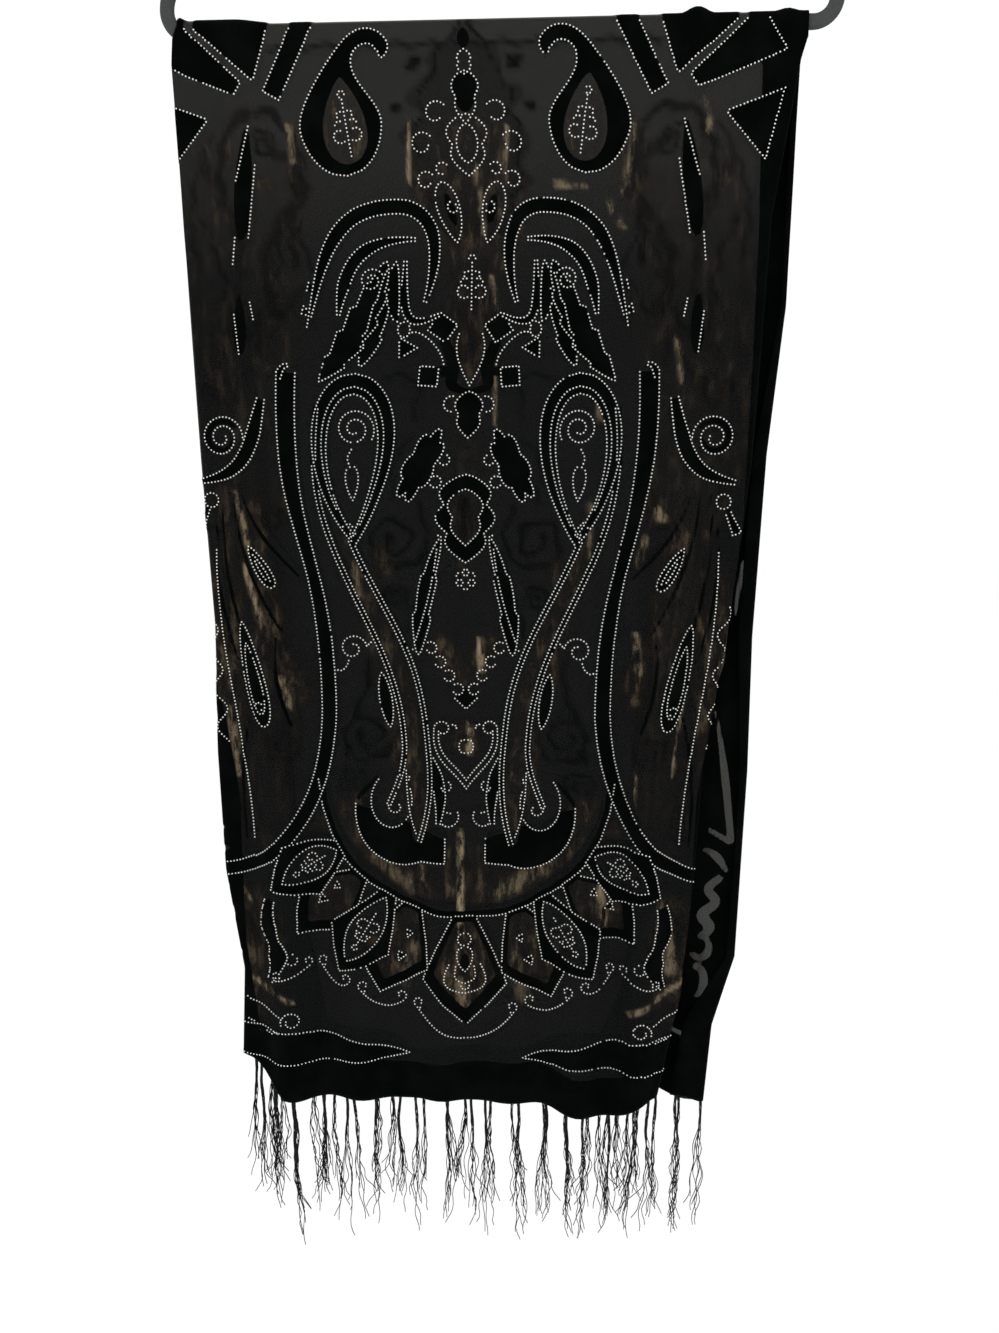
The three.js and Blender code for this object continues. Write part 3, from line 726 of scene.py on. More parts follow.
# knot of diamonds and flags on the axis
pileBand(bow((18, 197), (13, 224), 110, 70, 0.5), (7, 9, 8), False)
pileBand(bow((13, 222), (-1, 232), 60, 160, 0.5), (7, 4), False)
pileBand(bow((15, 218), (28, 221), -20, 20, 0.5), (5, 8), False)
for x, y, size, sides, turn in ((19, 189, 10, 4, 10), (28, 221, 9, 4, 40), (44, 202, 8, 3, 180)):
    pileArea(corners(x, y, size, sides, turn))
sew(bow((43, 195), (18, 213), -110, 95), bow((8, 193), (0, 227), 70, 120))

# trefoil drop
pileArea(onAxis(231, 262, 10, 2, 0.4))
sew(spiral(12, 240, 6, 4, -100, 0.7))

# long bands that sweep down and out to the sides
pileBand(np.concatenate([bow((125, 218), (99, 452), 87, 90, 0.5), bow((99, 455), (186, 579), 88, 2)]),
         (13, 12, 9.5, 8.5, 10.5, 11, 10, 9.5, 10))
pileBand(bow((124, 213), (131, 221), 0, 60), (2, 5))

# hanging paisleys, each with a spiral, a leaf and a long double tail in an S
pileRim(paisley(77, 217, 119, 57, 87, 9), paisley(78, 231, 97, 36, 87, 8))
sewRound(paisley(77.5, 226, 104, 43, 87, 8))
sew(spiral(78, 256, 14, 3, 150, 1.9))
sew(bow((80, 270), (81, 282), 60, 110, 0.6), closed(leaf((80, 281), (79, 305), 9, 0.35)))
pileArea(corners(83, 325, 5, 4))
flank = np.concatenate([bow((104, 240), (89, 350), 82, 113), bow((88, 352), (45, 482), 113, 92),
                        bow((45, 484), (57, 527), 88, 68)])
tail = np.concatenate([bow((82, 331), (30, 458), 112, 98), bow((29.5, 461), (34, 555), 96, 72)])
for path, wide in ((flank, 4.8), (tail, 4.6)):
    pileBand(path, (wide, wide), False)
    sew(beside(path, 1.5), beside(path, -1.5))
sew(bow((47, 457), (34, 556), 100, 115))
patches.append((leaf((86, 330), (35, 555), 24, 0.6, 0.9, 9), 0.75))

# side spirals, each with an arm below it and a ribbon
sew(spiral(170, 262, 15.5, 3, 180, 2.05))
pileBand(spiral(170, 262, 12, 8, 210, 0.9), (3, 5, 3), False)
pileBand(bow((142, 236), (186, 292), 78, 10, 0.5), (5, 9, 10, 8, 3))
sew(arc(179, 305, 5, 5))
pileArea(taper((181, 309), (189, 327), 3, 6))

# curled clouds beside the axis, with rings
pileArea(scalloped(32, 281, 28, 11, 7, 62))
sew(arc(15.5, 277, 3.6, 3.6), arc(21, 292, 4, 4))

# scalloped cartouche, rosette and the slim leaves under it
pileRim(onAxis(287, 348, 21, 3, 0.42), onAxis(297, 336, 13, 2, 0.4))
ghostsAndShadow.append(("area", onAxis(303, 330, 5), 0.8))
for i in range(6):
    sew(arc(*(np.array([0, 360]) + 4.9 * heading(60 * i + 29)), 2.3, 2.3))
pileArea(leaf((17, 330), (34, 414), 14, 0.6, 1.3, -3, 3))
sew(bow((19, 329), (39, 413), 85, 70))

# chevron of small loops over printed cloth, with a diamond
for i in range(4):
    sew(spiral(24.5 - 6.2 * i, 409 + 10.2 * i, 4.6, 3.4, -60, -0.75))
pileArea(corners(0, 446, 8, 4))
patches.append((leaf((24, 398), (0, 438), 16, 0.5, 1.0), 0.95))

# curled V with a small bud
for gap in (0, 3.4):
    sew(bow((23 - gap, 470), (0, 514 - 1.9 * gap), 84, 124, 0.42))
sew(spiral(17, 468, 6, 3.5, 0, -0.8), bow((14, 464), (7, 468), 150, 60), arc(2, 482, 3.2, 5))
patches.append((arc(0, 477, 10, 12), 1.0))

# comma scrolls with a leaf
sew(spiral(81, 410, 10, 3, -170, 1.2), bow((64, 405), (71, 409), -20, 60),
    bow((84, 419), (92, 426), 80, -30))
pileArea(leaf((61, 428), (55, 468), 9))

# bowls that hold the feet of the tails: part of an ellipse, on a flat foot
bowl = np.concatenate([arc(46, 530, 35, 44, -6, 112), line([(15, 571), (15, 552)])])
pileArea(bowl, False)
sew(bowl)
burn(arc(55, 524, 15, 21))
sew(arc(55, 524, 15, 21, -50, 205))
burn(leaf((34, 470), (35, 557), 13, 0.6, 1.0))
pileBand(bow((66, 506), (80, 528), 60, 100), (2, 4, 1), False)
sew(spiral(52, 529, 5.5, 3, -10, 0.62), spiral(46, 506, 4.5, 3, 120, 0.7))
pileBand(bow((28, 484), (20, 540), 112, 82), (2, 8, 8, 3))
sew(spiral(13, 536, 8, 4, -150, -0.9), spiral(15, 512, 4.5, 3, -60, -0.8))

# ring under the bowls, and the fan of petals that stands on it
fan = {"middle": 505, "radius": 107, "ring": 5.2}
pileBand(arc(0, fan["middle"], fan["radius"], fan["radius"], 2, 92), (fan["ring"], fan["ring"]), False)
sew(arc(0, fan["middle"], fan["radius"] + 2.2, fan["radius"] + 2.2, 2, 90))
patches.append((np.concatenate([arc(0, fan["middle"], 98, 98, 8, 96),
                                arc(0, fan["middle"], 80, 80, 96, 8)]), 0.9))
# turn, length, width, rim, print, sprig size; the later ones lie over the earlier
petals = [(44, 69, 50, 6, 0.6, 0), (69, 76, 56, 6, 0.9, 0), (31, 61, 48, 6, 0.0, 4.0),
          (58, 75, 50, 6.5, 0.0, 4.4), (90, 90, 64, 7.5, 1.0, 0)]
for turn, long, wide, rim, printed, size in petals:
    root = [fan["middle"] * np.array([0, 1]) + (fan["radius"] + gap) * heading(turn)
            for gap in (1, 0.8 * rim, long - 1.7 * rim, long)]
    covers.append((len(beads), kite(root[0], root[3], wide)))
    pileArea(kite(root[0], root[3], wide))
    if size:
        eye = leaf(root[1], root[2], wide - 3.9 * rim, 0.5, 1.9)
        burn(eye)
        sewRound(eye)
        sew(*sprig(mix(root[1], root[2], 0.25), mix(root[1], root[2], 0.72), size))
    else:
        burn(kite(root[1], root[2], wide - 2.2 * rim))
        patches.append((kite(root[1], root[2], wide - 2 * rim), printed))
        for share in (0.3, 0.62) if turn < 90 else ():
            spot = mix(root[1], root[2], share) + (5 if turn > 60 else -5) * heading(turn + 90)
            pileArea(corners(*spot, 4.5 if share > 0.5 else 3.6, 3, turn))
sew(arc(0, 632, 5, 5), onAxis(638, 658, 6, 1, 0.35), bow((0, 676), (12, 652), -10, -120, 0.6),
    bow((0, 668), (7, 654), -20, -100, 0.6), arc(0, 670, 3, 3))
pileArea(onAxis(643, 660, 3.5), False)

# scroll line under the petals, with a pair of curls where its swags meet: start, end, sag, curl
for one in (((143, 664), (119, 655), 2, 4), ((110, 656), (90, 669), 7, 4.5), ((79, 674), (48, 684), 8, 4.8),
            ((37, 689), (-1, 713), 7, 4.8)):
    sew(*swag(*one))
pileBand(bow((146, 600), (148, 664), 75, 60, 0.6), (8, 13, 9, 15, 4))
sew(spiral(130, 648, 5, 3, -90, 0.8))

# flames of pile along the hem, and the pile band across the end
pileArea(leaf((44, 727), (206, 712), 27, 0.66, 1.2, 2))
sew(spiral(133, 698, 8, 3.5, 20, -1.1), bow((140, 695), (168, 682), -30, -20),
    bow((134, 707), (168, 700), 10, -30))
hemBand = {"high": 33.0, "wave": 2.0}

# painted shadow: a fine dark line where the bar's lower edge shades the sheer cloth
ghostAndShadowBands([(line([(-5, 11.4), (128, 11.4)]), 3.0, 0.8)])

# narrow leaves and bead lines at the sides
for start, end, wide in (((152, 337), (136, 366), 9), ((160, 391), (144, 466), 16)):
    pileArea(leaf(start, end, wide, 0.62, 1.1))
    inner = [mix(np.array(start), end, share) for share in (0.2, 0.88)]
    sewRound(leaf(*inner, wide - 6, 0.62, 1.1))
sew(arc(148, 452, 3, 3))
sew(bow((177, 340), (157, 552), 88, 92))
waving = np.arange(378, 482, 2.0)
sew(np.stack([184.5 - (waving - 378) * 0.075 + 4.5 * np.sin(waving / 4.6), waving], axis=1))
patches.append((leaf((181, 345), (168, 500), 20), 0.9))

# upper sides: slips of pile with broken bead lines, under printed arches
for start, end, wide in (((145, 58), (153, 133), 12), ((155, 166), (155, 208), 9)):
    pileArea(leaf(start, end, wide, 0.6), False)
for start, end in (((144, 60), (154, 94)), ((141, 84), (148, 130)), ((157, 130), (159, 147)),
                   ((148, 172), (146, 183)), ((159, 180), (156, 206))):
    sew(line([start, end]))
ghostAndShadowBands([(arc(137, 95, 28, 45, 15, -195), 6, 0.7),
            (bow((176, 84), (173, 216), 130, 60), 7, 0.5),
            (bow((134, 70), (128, 182), 150, 120, 0.7), 8, 0.6),
            (bow((118, 90), (116, 150), 110, 110), 4, 0.8),
            (spiral(136, 72, 10, 3, -40, -1.3), 2.6, 0.8),
            (bow((141, 190), (170, 222), 100, -30), 4, 0.6),
            (bow((128, 122), (152, 200), 100, 60), 3, 0.7),
            (bow((112, 160), (136, 214), 70, 100), 3, 0.6),
            (bow((168, 64), (181, 150), 60, 110), 3.4, 0.6),
            (bow((180, 120), (166, 190), 120, 80), 3, 0.7),
            (spiral(170, 232, 12, 4, 0, -1.2), 3, 0.7),
            (bow((110, 96), (104, 150), 60, 120), 3, 0.6)])
patches.extend([(leaf((160, 60), (111, 92), 16, 0.5, 1.0, -18), 0.7),
                (leaf((170, 106), (150, 216), 34), 0.25),
                (arc(176, 95, 10, 40), 0.5), (arc(166, 215, 16, 22), 0.3), (arc(128, 140, 11, 26), 0.35)])

# dark edge of the printed halo round the finial
ghostAndShadowBands([(onAxis(-2, 134, 38, 5, 0.62, 1.2, 0.2), 2.6, 0.9)])

# scrolls in the field, printed grey on grey: place, size, way it turns
for x, y, size, way in ((50, 333, 21, 1), (52, 374, 10, -1), (72, 474, 20, 1), (84, 508, 11, -1),
                        (134, 480, 13, 1), (135, 318, 10, -1), (158, 535, 15, 1), (150, 620, 17, 1)):
    ghostAndShadowBands([(spiral(x, y, size, size * 0.22, 160, -way * 1.6), 3.2 if size > 15 else 2.4, 0.85)])
ghostAndShadowBands([(bow((34, 308), (44, 400), 115, 65), 2.6, 0.8), (bow((72, 420), (86, 492), 110, 110), 3, 0.85),
            (bow((60, 222), (38, 250), 190, 80, 0.8), 2.6, 0.7),
            (bow((38, 262), (50, 306), 30, 110), 2.4, 0.6)])
for x, y, size in ((32, 22, 6), (44, 48, 4)):
    ghostsAndShadow.append(("area", scalloped(x, y, size, size * 0.8, 4), 0.9))

# the print is mottled all down the sides and along the axis
patches.extend([(leaf((150, 44), (160, 330), 84, 0.5, 0.8), 0.24),
                (leaf((158, 330), (150, 560), 62, 0.5, 0.8), 0.2),
                (leaf((150, 590), (165, 700), 44, 0.5, 0.9), 0.45), (arc(0, 110, 40, 60), 0.55),
                (arc(0, 190, 17, 70), 0.5), (arc(0, 300, 12, 60), 0.3), (arc(112, 90, 12, 34), 0.5)])

# long painted leaves that fan down the sides between dark stems
for top, foot, wide in (((150, 296), (128, 440), 15), ((158, 296), (143, 440), 13),
                        ((168, 296), (166, 440), 11)):
    patches.append((leaf(top, foot, wide), 0.8))
for start, end in (((163, 298), (131, 398)), ((170, 300), (150, 430)), ((175, 318), (164, 420)),
                   ((157, 298), (118, 360)), ((150, 440), (163, 556)), ((135, 402), (126, 470))):
    lean = math.degrees(math.atan2(end[1] - start[1], end[0] - start[0]))
    pileBand(bow(start, end, lean - 14, lean + 10), (1.5, 3, 2), False)
patches.extend([(arc(122, 436, 11, 16), 0.9), (arc(145, 405, 6, 26), 0.9), (arc(131, 310, 9, 12), 0.8),
                (arc(107, 542, 8, 8), 0.8), (arc(168, 645, 15, 26), 0.8), (arc(176, 560, 7, 36), 0.7),
                (arc(60, 350, 10, 16), 0.35), (arc(9, 575, 9, 18), 0.7)])

# velvet along the selvedge, which the turn of the edge brings inwards lower down, with openings burnt out
pileArea(line([(193, -12), (193, 330), (187, 420), (176, 460), (168, 520), (167, 640), (160, 700), (160, 790),
               (240, 790), (240, -12)]), False)
zigzag = np.arange(583, 634, 2.0)
burntBand(bow((182, 455), (198, 556), 78, 82), (2, 6, 5))
burntBand(line([(180, 546), (199, 557)]), (3.5, 5))
burntBand(line([(198, 346), (193, 386)]), (4.5, 2))
burntBand(bow((177, 562), (196, 580), 8, 62), (3, 7, 3))
burntBand(np.stack([188 - (zigzag - 583) * 0.16 + 4 * np.sin(zigzag / 3.4), zigzag], axis=1), (6, 7, 9, 6))
burntBand(arc(178, 640, 7, 9, -60, 150), (3, 7, 4))
burntBand(arc(176, 668, 6, 12, -120, 100), (4, 6, 7, 3))
burntBand(line([(158, 710), (176, 715)]), (4, 5))

# painted highlights along the sharpest creases, in the tan of the metallic print, on the cloth itself, + to
# the right:
# start, end, width, strength
creaseHighlights = [((-3, 548), (-4, 628), 4.2, 1.0), ((-36, 58), (-36, 97), 2.2, 0.8),
           ((8, 86), (14, 128), 1.8, 0.6), ((29, 62), (26, 116), 1.6, 0.6),
           ((-117, 60), (-114, 82), 5.0, 0.55), ((113, 62), (107, 104), 3.0, 0.7),
           ((62, 98), (80, 100), 3.6, 0.6), ((97, 110), (106, 126), 3.6, 0.7),
           ((158, 50), (161, 68), 4.0, 0.6), ((20, 156), (23, 176), 2.6, 0.6),
           ((22, 214), (22, 252), 2.6, 0.55), ((144, 198), (148, 228), 3.2, 0.5),
           ((91, 226), (94, 250), 3.0, 0.5), ((-160, 300), (-150, 345), 4.0, 0.6),
           ((-155, 352), (-144, 392), 5.0, 0.7), ((-171, 455), (-168, 505), 5.0, 0.6),
           ((-132, 432), (-128, 452), 5.0, 0.7), ((127, 330), (122, 350), 3.0, 0.6),
           ((133, 310), (137, 316), 7.0, 0.6), ((122, 398), (125, 424), 4.5, 0.7),
           ((157, 420), (150, 500), 2.6, 0.6), ((88, 306), (88, 345), 2.6, 0.45),
           ((11, 403), (12, 425), 4.0, 0.9), ((4, 466), (3, 485), 6.0, 0.8),
           ((101, 582), (103, 616), 6.0, 0.8), ((-32, 575), (-32, 590), 5.0, 0.5),
           ((145, 596), (142, 625), 5.0, 0.6), ((-170, 664), (-132, 682), 4.0, 0.7),
           ((165, 660), (124, 684), 4.0, 0.6), ((124, 500), (124, 520), 2.2, 0.7),
           ((-79, 350), (-76, 372), 4.0, 0.4), ((-175, 583), (-162, 604), 3.0, 0.6),
           ((-2, 668), (-3, 694), 13.0, 0.5), ((-40, 640), (-48, 668), 15.0, 0.22),
           ((36, 644), (44, 676), 14.0, 0.24), ((-40, 592), (-66, 566), 14.0, 0.22),
           ((24, 594), (62, 570), 14.0, 0.26), ((150, 620), (154, 650), 13.0, 0.42)]
wander = {"drop": [0, 60, 126, 200, 260, 300, 514, 612, 700], "off": [0, 2, 6.5, 5, 3, 1, 1, -1, 0]}


def acrossAxis(outline):
    # an outline that ends on the axis goes on past it, so that its mirror image joins it
    out = []
    for a, b in zip(outline, np.roll(outline, -1, axis=0)):
        out.append(a)
        if abs(a[0]) < 0.01 and abs(b[0]) < 0.01:
            out += [(-8.0, a[1]), (-8.0, b[1])]
    return np.array(out)


def depthInside(spots, path, wide=None):
    # how far each spot near a shape lies inside it, in mm, and below 0 outside
    path = path if wide else acrossAxis(path)
    reach = 6.0 + (wide or 0.0)
    close = (spots > path.min(axis=0) - reach) & (spots < path.max(axis=0) + reach)
    near = np.nonzero(close.all(axis=1))[0]
    x, y = spots[near].T
    nearest = np.full(len(near), 1e6)
    odd = np.zeros(len(near), dtype=bool)
    ends = path[1:] if wide else np.roll(path, -1, axis=0)
    for (ax, ay), (bx, by) in zip(path, ends):
        dx, dy = bx - ax, by - ay
        t = np.clip(((x - ax) * dx + (y - ay) * dy) / (dx * dx + dy * dy + 1e-9), 0.0, 1.0)
        nearest = np.minimum(nearest, np.hypot(x - ax - t * dx, y - ay - t * dy))
        if ay != by:
            odd ^= ((ay > y) != (by > y)) & (x < dx * (y - ay) / (by - ay) + ax)
    return near, (wide / 2 - nearest if wide else np.where(odd, nearest, -nearest))


def axisShift(drop, away):
    # the middle of the pattern hangs a little off its line, less so further out
    return np.interp(drop, wander["drop"], wander["off"]) * (1 - 0.65 * smooth(away, 10, 110))


marking = {
    "sheerFade": (30, 190),     # drop over which the chiffon's tone runs from its top one to its low one, a painted shade that darkens it lower down
    "overBar": (9, 12),         # above this drop it lies on the bar and is painted lighter
    "overBarTone": 0.4,
    "ragged": 1.6,              # how far the grey print's edges stray
    "faintest": -5.0,           # pile depth, in mm, far from any pile
}


def clothMarks(grid, fall):
    place, seen = grid[:, :, 4].ravel(), grid[:, :, 5].ravel()
    away = np.abs(place - axisShift(seen, np.abs(place)))
    spots = np.stack([away, seen], axis=1)
    signed = np.stack([place, seen], axis=1)
    marks = {name: np.zeros(len(seen)) for name in ("ghostAndShadow", "gold", "creaseHighlight")}
    marks["pile"] = np.full(len(seen), marking["faintest"])
    # painted shade: 0 at the top, 1 lower down, and below 0 where the cloth lies over the bar
    marks["low"] = (smooth(seen, *marking["sheerFade"])
                    - marking["overBarTone"] * (1 - smooth(seen, *marking["overBar"])))
    for kind, path in pile:
        near, depth = depthInside(spots, path)
        if kind == "cut":
            marks["pile"][near] = np.minimum(marks["pile"][near], -depth)
        else:
            marks["pile"][near] = np.maximum(marks["pile"][near], depth)
    stray = np.stack([np.sin(seen / 3.1 + place / 9), np.sin(place / 3.7 + seen / 11)], axis=1)
    ragged = spots + marking["ragged"] * stray
    for kind, path, *wide, strength in ghostsAndShadow:
        near, depth = depthInside(ragged, path, *wide)
        marks["ghostAndShadow"][near] = np.maximum(marks["ghostAndShadow"][near], strength * smooth(depth, -0.9, 0.9))
    for path, strength in patches:
        near, depth = depthInside(spots, path)
        marks["gold"][near] = np.maximum(marks["gold"][near], strength * smooth(depth, -2.5, 4.0))
    for start, end, wide, strength in creaseHighlights:
        near, depth = depthInside(signed, line([start, end]), wide)
        marks["creaseHighlight"][near] = np.maximum(marks["creaseHighlight"][near], strength * smooth(depth, -0.9, wide / 3.0))
    toHem = fall["length"] - grid[:, :, 6].ravel()
    hem = hemBand["high"] + hemBand["wave"] * np.sin(grid[:, :, 3].ravel() / 23.0) - toHem
    marks["pile"] = np.clip(np.maximum(marks["pile"], hem), marking["faintest"], -marking["faintest"])
    return {key: value.reshape(grid.shape[:2]) for key, value in marks.items()}


grids = {name: clothGrid(name) for name in ("front", "back")}
marks = {name: clothMarks(grids[name], falls[name]) for name in grids}
stoleFront, frontFace, frontNormal = clothShell("stole_front", grids["front"], marks["front"])
stoleBack, backFace, backNormal = clothShell("stole_back", grids["back"], marks["back"])
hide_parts("front_fall", "bar_fold")
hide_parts("back_fall")
print("cloth draped:", len(stoleFront.data.polygons), len(stoleBack.data.polygons), "faces")


# The beads, sewn along the motifs

bead = {
    "pitch": 2.45,           # a little coarser than the real 2.1, so that the beads read apart
    "radius": 0.66,
    "height": 0.62,
    "sides": 6,
    "profile": ((1.0, -0.12), (0.74, 0.66)),    # share of the radius and of the height at each ring
    "clear": 1.7,            # between the middles of two beads
    "missing": 0.012,        # beads lost in wear
    "underPetal": 0.3,       # a bead this far inside a petal that lies over its line is left out
    "edgeOn": 0.15,          # so is one whose cloth looks further than this away from the viewer
    "seed": 5,
}


def evenly(path, pitch):
    run = np.concatenate([[0.0], np.cumsum(np.hypot(*np.diff(path, axis=0).T))])
    count = max(1, int(round(run[-1] / pitch)))
    at = np.linspace(0.0, run[-1], count + 1)
    return np.stack([np.interp(at, run, path[:, 0]), np.interp(at, run, path[:, 1])], axis=1)


def freeSpot(taken, p, s):
    # beads stand clear of each other where their lines cross
    cell = int(p // bead["clear"]), int(s // bead["clear"])
    for i in (-1, 0, 1):
        for j in (-1, 0, 1):
            other = taken.get((cell[0] + i, cell[1] + j))
            if other and math.hypot(other[0] - p, other[1] - s) < bead["clear"]:
                return False
    taken[cell] = (p, s)
    return True


def beadPlaces(name, face, outward):
    # finds each bead's place on the hanging cloth, and which way the cloth looks there
    front = name == "front"
    # the front grid starts with the rows of the lap and of the fold over the bar
    first, way, toViewer = (len(lapRows) + foldSteps, 1, -1) if front else (0, -1, 1)
    place, seen = (grids[name][first:, ::way, layer] for layer in (4, 5))
    face, outward = face[first:, ::way], outward[first:, ::way]
    rows, columns = np.arange(place.shape[0]), np.arange(place.shape[1])
    rng = random.Random(bead["seed"])
    found, taken = [], {}
    for number, path in enumerate(beads):
        spots = evenly(path, bead["pitch"])
        hidden = np.zeros(len(spots), dtype=bool)
        for under, outline in covers:
            near, depth = depthInside(spots, outline)
            if number < under:
                hidden[near] |= depth > bead["underPetal"]
        for away, s in spots[~hidden & (spots[:, 0] > -0.01) & (spots[:, 1] > 0.5)]:
            for side in (-1, 1):
                p = side * away + float(axisShift(s, away))
                c = float(np.interp(p, place[min(int(s / cloth["rowStep"]), len(rows) - 1)], columns))
                for _ in range(2):      # each pass brings row and column nearer
                    r = float(np.interp(s, seen[:, int(c)], rows))
                    c = float(np.interp(p, place[int(r)], columns))
                i, j = min(int(r), len(rows) - 2), min(int(c), len(columns) - 2)
                a, b = r - i, c - j
                onCloth = place[i, 0] + 1 < p < place[i, -1] - 1 and r < len(rows) - 1.5
                if rng.random() < bead["missing"] or not onCloth or not freeSpot(taken, p, s):
                    continue
                spot = [(1 - a) * (1 - b) * g[i, j] + (1 - a) * b * g[i, j + 1] + a * (1 - b) * g[i + 1, j]
                        + a * b * g[i + 1, j + 1] for g in (face, outward)]
                if spot[1][1] * toViewer > -bead["edgeOn"]:
                    found.append((*spot[0], *spot[1]))
    return np.array(found)


def beadMesh(name, spots):
    sides = bead["sides"]
    rng = np.random.default_rng(bead["seed"])
    turn = 2 * np.pi * np.arange(sides) / sides
    size = rng.uniform(0.93, 1.07, len(spots))
    normal = unit(spots[:, 3:6])
    aside = unit(np.cross(normal, [0.0, 0.0, 1.0]))
    above = np.cross(normal, aside)
    layers = []
    for share, high in bead["profile"]:
        for angle in turn:
            layers.append(spots[:, :3] + (size * bead["radius"] * share)[:, None]
                          * (math.cos(angle) * aside + math.sin(angle) * above)
                          + (size * bead["height"] * high)[:, None] * normal)
    layers.append(spots[:, :3] + (size * bead["height"])[:, None] * normal)
    points = np.stack(layers, axis=1).reshape(-1, 3)
    one = [tuple(range(sides - 1, -1, -1))]
    one += [(j, (j + 1) % sides, sides + (j + 1) % sides, sides + j) for j in range(sides)]
    one += [(sides + j, sides + (j + 1) % sides, 2 * sides) for j in range(sides)]
    each = 2 * sides + 1
    faces = [tuple(i + k * each for i in face) for k in range(len(spots)) for face in one]
    return meshPiece(name, points, faces, beadMaterial)


for name, face, outward in (("front", frontFace, frontNormal), ("back", backFace, backNormal)):
    spots = beadPlaces(name, face, outward)
    middle = spots[:, 0] < cloth["axisX"]
    beadMesh("beads_" + name + "_left", spots[middle])
    beadMesh("beads_" + name + "_right", spots[~middle])
    print("beads sewn on the", name, "fall:", len(spots))


# The knotted fringes

fringe = {
    "tassels": 23,
    "uneven": 6.0,              # how far a tassel sits off its even place
    "length": 118.0,
    "lengthShare": (0.86, 1.04),
    "stemShare": (0.06, 0.36),  # of the length, before the threads part
    "lean": 4.5,                # sideways at a tassel's foot
    "bendHigh": (0.5, 1.8),     # the threads of a tassel share one soft wave
    "bendLong": (11, 19),
    "legs": (0.0, 0.0, 2.6),    # some tassels part into two
    "threads": (6, 9),
    "threadRadius": 0.36,
    "bundle": 0.8,              # threads twist round each other at this radius
    "twistLong": 9.0,           # and turn by a radian over this drop
    "reachShare": (0.7, 1.03),  # of the tassel's length, for each thread
    "spread": (1.2, 4.6),       # how far a thread's end strays to a side
    "deep": (-1.6, 2.6),        # and away from the cloth
    "crimpHigh": (0.4, 1.5),
    "crimpLong": (2.6, 6.0),
    "hooked": 0.45,             # share of the threads whose end hooks aside
    "hook": 8.0,
    "steps": 24,
    "seed": 11,
}
wholeTurn = 6.28                # radians, for random starts


def tube(path, radii, sides=3):
    # closed tube around a path, rings square to it
    path = np.asarray(path, dtype=float)
    along = unit(np.gradient(path, axis=0))
    aside = unit(np.cross(along, [0.0, 1.0, 0.0]))
    above = np.cross(along, aside)
    angles = (2 * np.pi * np.arange(sides) / sides)[None, :, None]
    rings = (path[:, None, :] + np.asarray(radii)[:, None, None]
             * (np.cos(angles) * aside[:, None, :] + np.sin(angles) * above[:, None, :]))
    faces = []
    for i in range(len(path) - 1):
        for j in range(sides):
            k = (j + 1) % sides
            faces.append((i * sides + j, i * sides + k, (i + 1) * sides + k, (i + 1) * sides + j))
    faces.append(tuple(range(sides - 1, -1, -1)))
    last = (len(path) - 1) * sides
    faces.append(tuple(last + j for j in range(sides)))
    return rings.reshape(-1, 3), faces


def joinShapes(shapes):
    points, faces, start = [], [], 0
    for p, f in shapes:
        points.append(p)
        faces += [tuple(i + start for i in face) for face in f]
        start += len(p)
    return np.concatenate(points), faces


def tasselShapes(root, outward, rng, long):
    shapes = []
    stem = long * rng.uniform(*fringe["stemShare"])
    lean = rng.uniform(-fringe["lean"], fringe["lean"])
    turn = rng.uniform(0, wholeTurn)
    bend = rng.uniform(*fringe["bendHigh"]), rng.uniform(*fringe["bendLong"]), rng.uniform(0, wholeTurn)
    legs = rng.choice(fringe["legs"])
    threads = rng.randint(*fringe["threads"])
    # a small overhand knot just under the hem
    knot = [(root[0], root[1], root[2] - drop) for drop in (-1.0, 1.0, 2.6, 4.2)]
    shapes.append(tube(knot, [0.5, 1.1, 1.15, 0.6], 6))
    for k in range(threads):
        reach = long * rng.uniform(*fringe["reachShare"])
        spread = (1 if k % 2 else -1) * legs + rng.uniform(-1, 1) * rng.uniform(*fringe["spread"])
        deep = rng.uniform(*fringe["deep"]) * outward
        wave = rng.uniform(*fringe["crimpHigh"])
        crimp = rng.uniform(*fringe["crimpLong"])
        phase = rng.uniform(0, wholeTurn)
        hook = rng.uniform(-fringe["hook"], fringe["hook"]) if rng.random() < fringe["hooked"] else 0.0
        path, radii = [], []
        for i in range(fringe["steps"] + 1):
            t = i / fringe["steps"]
            d = reach * t
            free = float(smooth(d, stem * 0.6, stem + 0.5 * long))
            twist = turn + 2 * math.pi * k / threads + d / fringe["twistLong"]
            bundle = fringe["bundle"] * (1 - 0.6 * free)
            end = max(0.0, t - 0.78) / 0.22
            shared = lean * t * t + bend[0] * math.sin(bend[2] + d / bend[1]) * min(1.0, d / 16)
            crinkle = wave * min(1.0, 0.25 + free) * math.sin(phase + d / crimp) * min(1.0, d / 12)
            own = spread * free + crinkle
            path.append((root[0] + shared + own + bundle * math.cos(twist) + hook * end ** 1.6,
                         root[1] + bundle * math.sin(twist) + free * deep,
                         root[2] - d + 0.35 * abs(hook) * end))
            radii.append(fringe["threadRadius"] * (1.15 - 0.2 * t))
        shapes.append(tube(path, radii, 3))
    return shapes


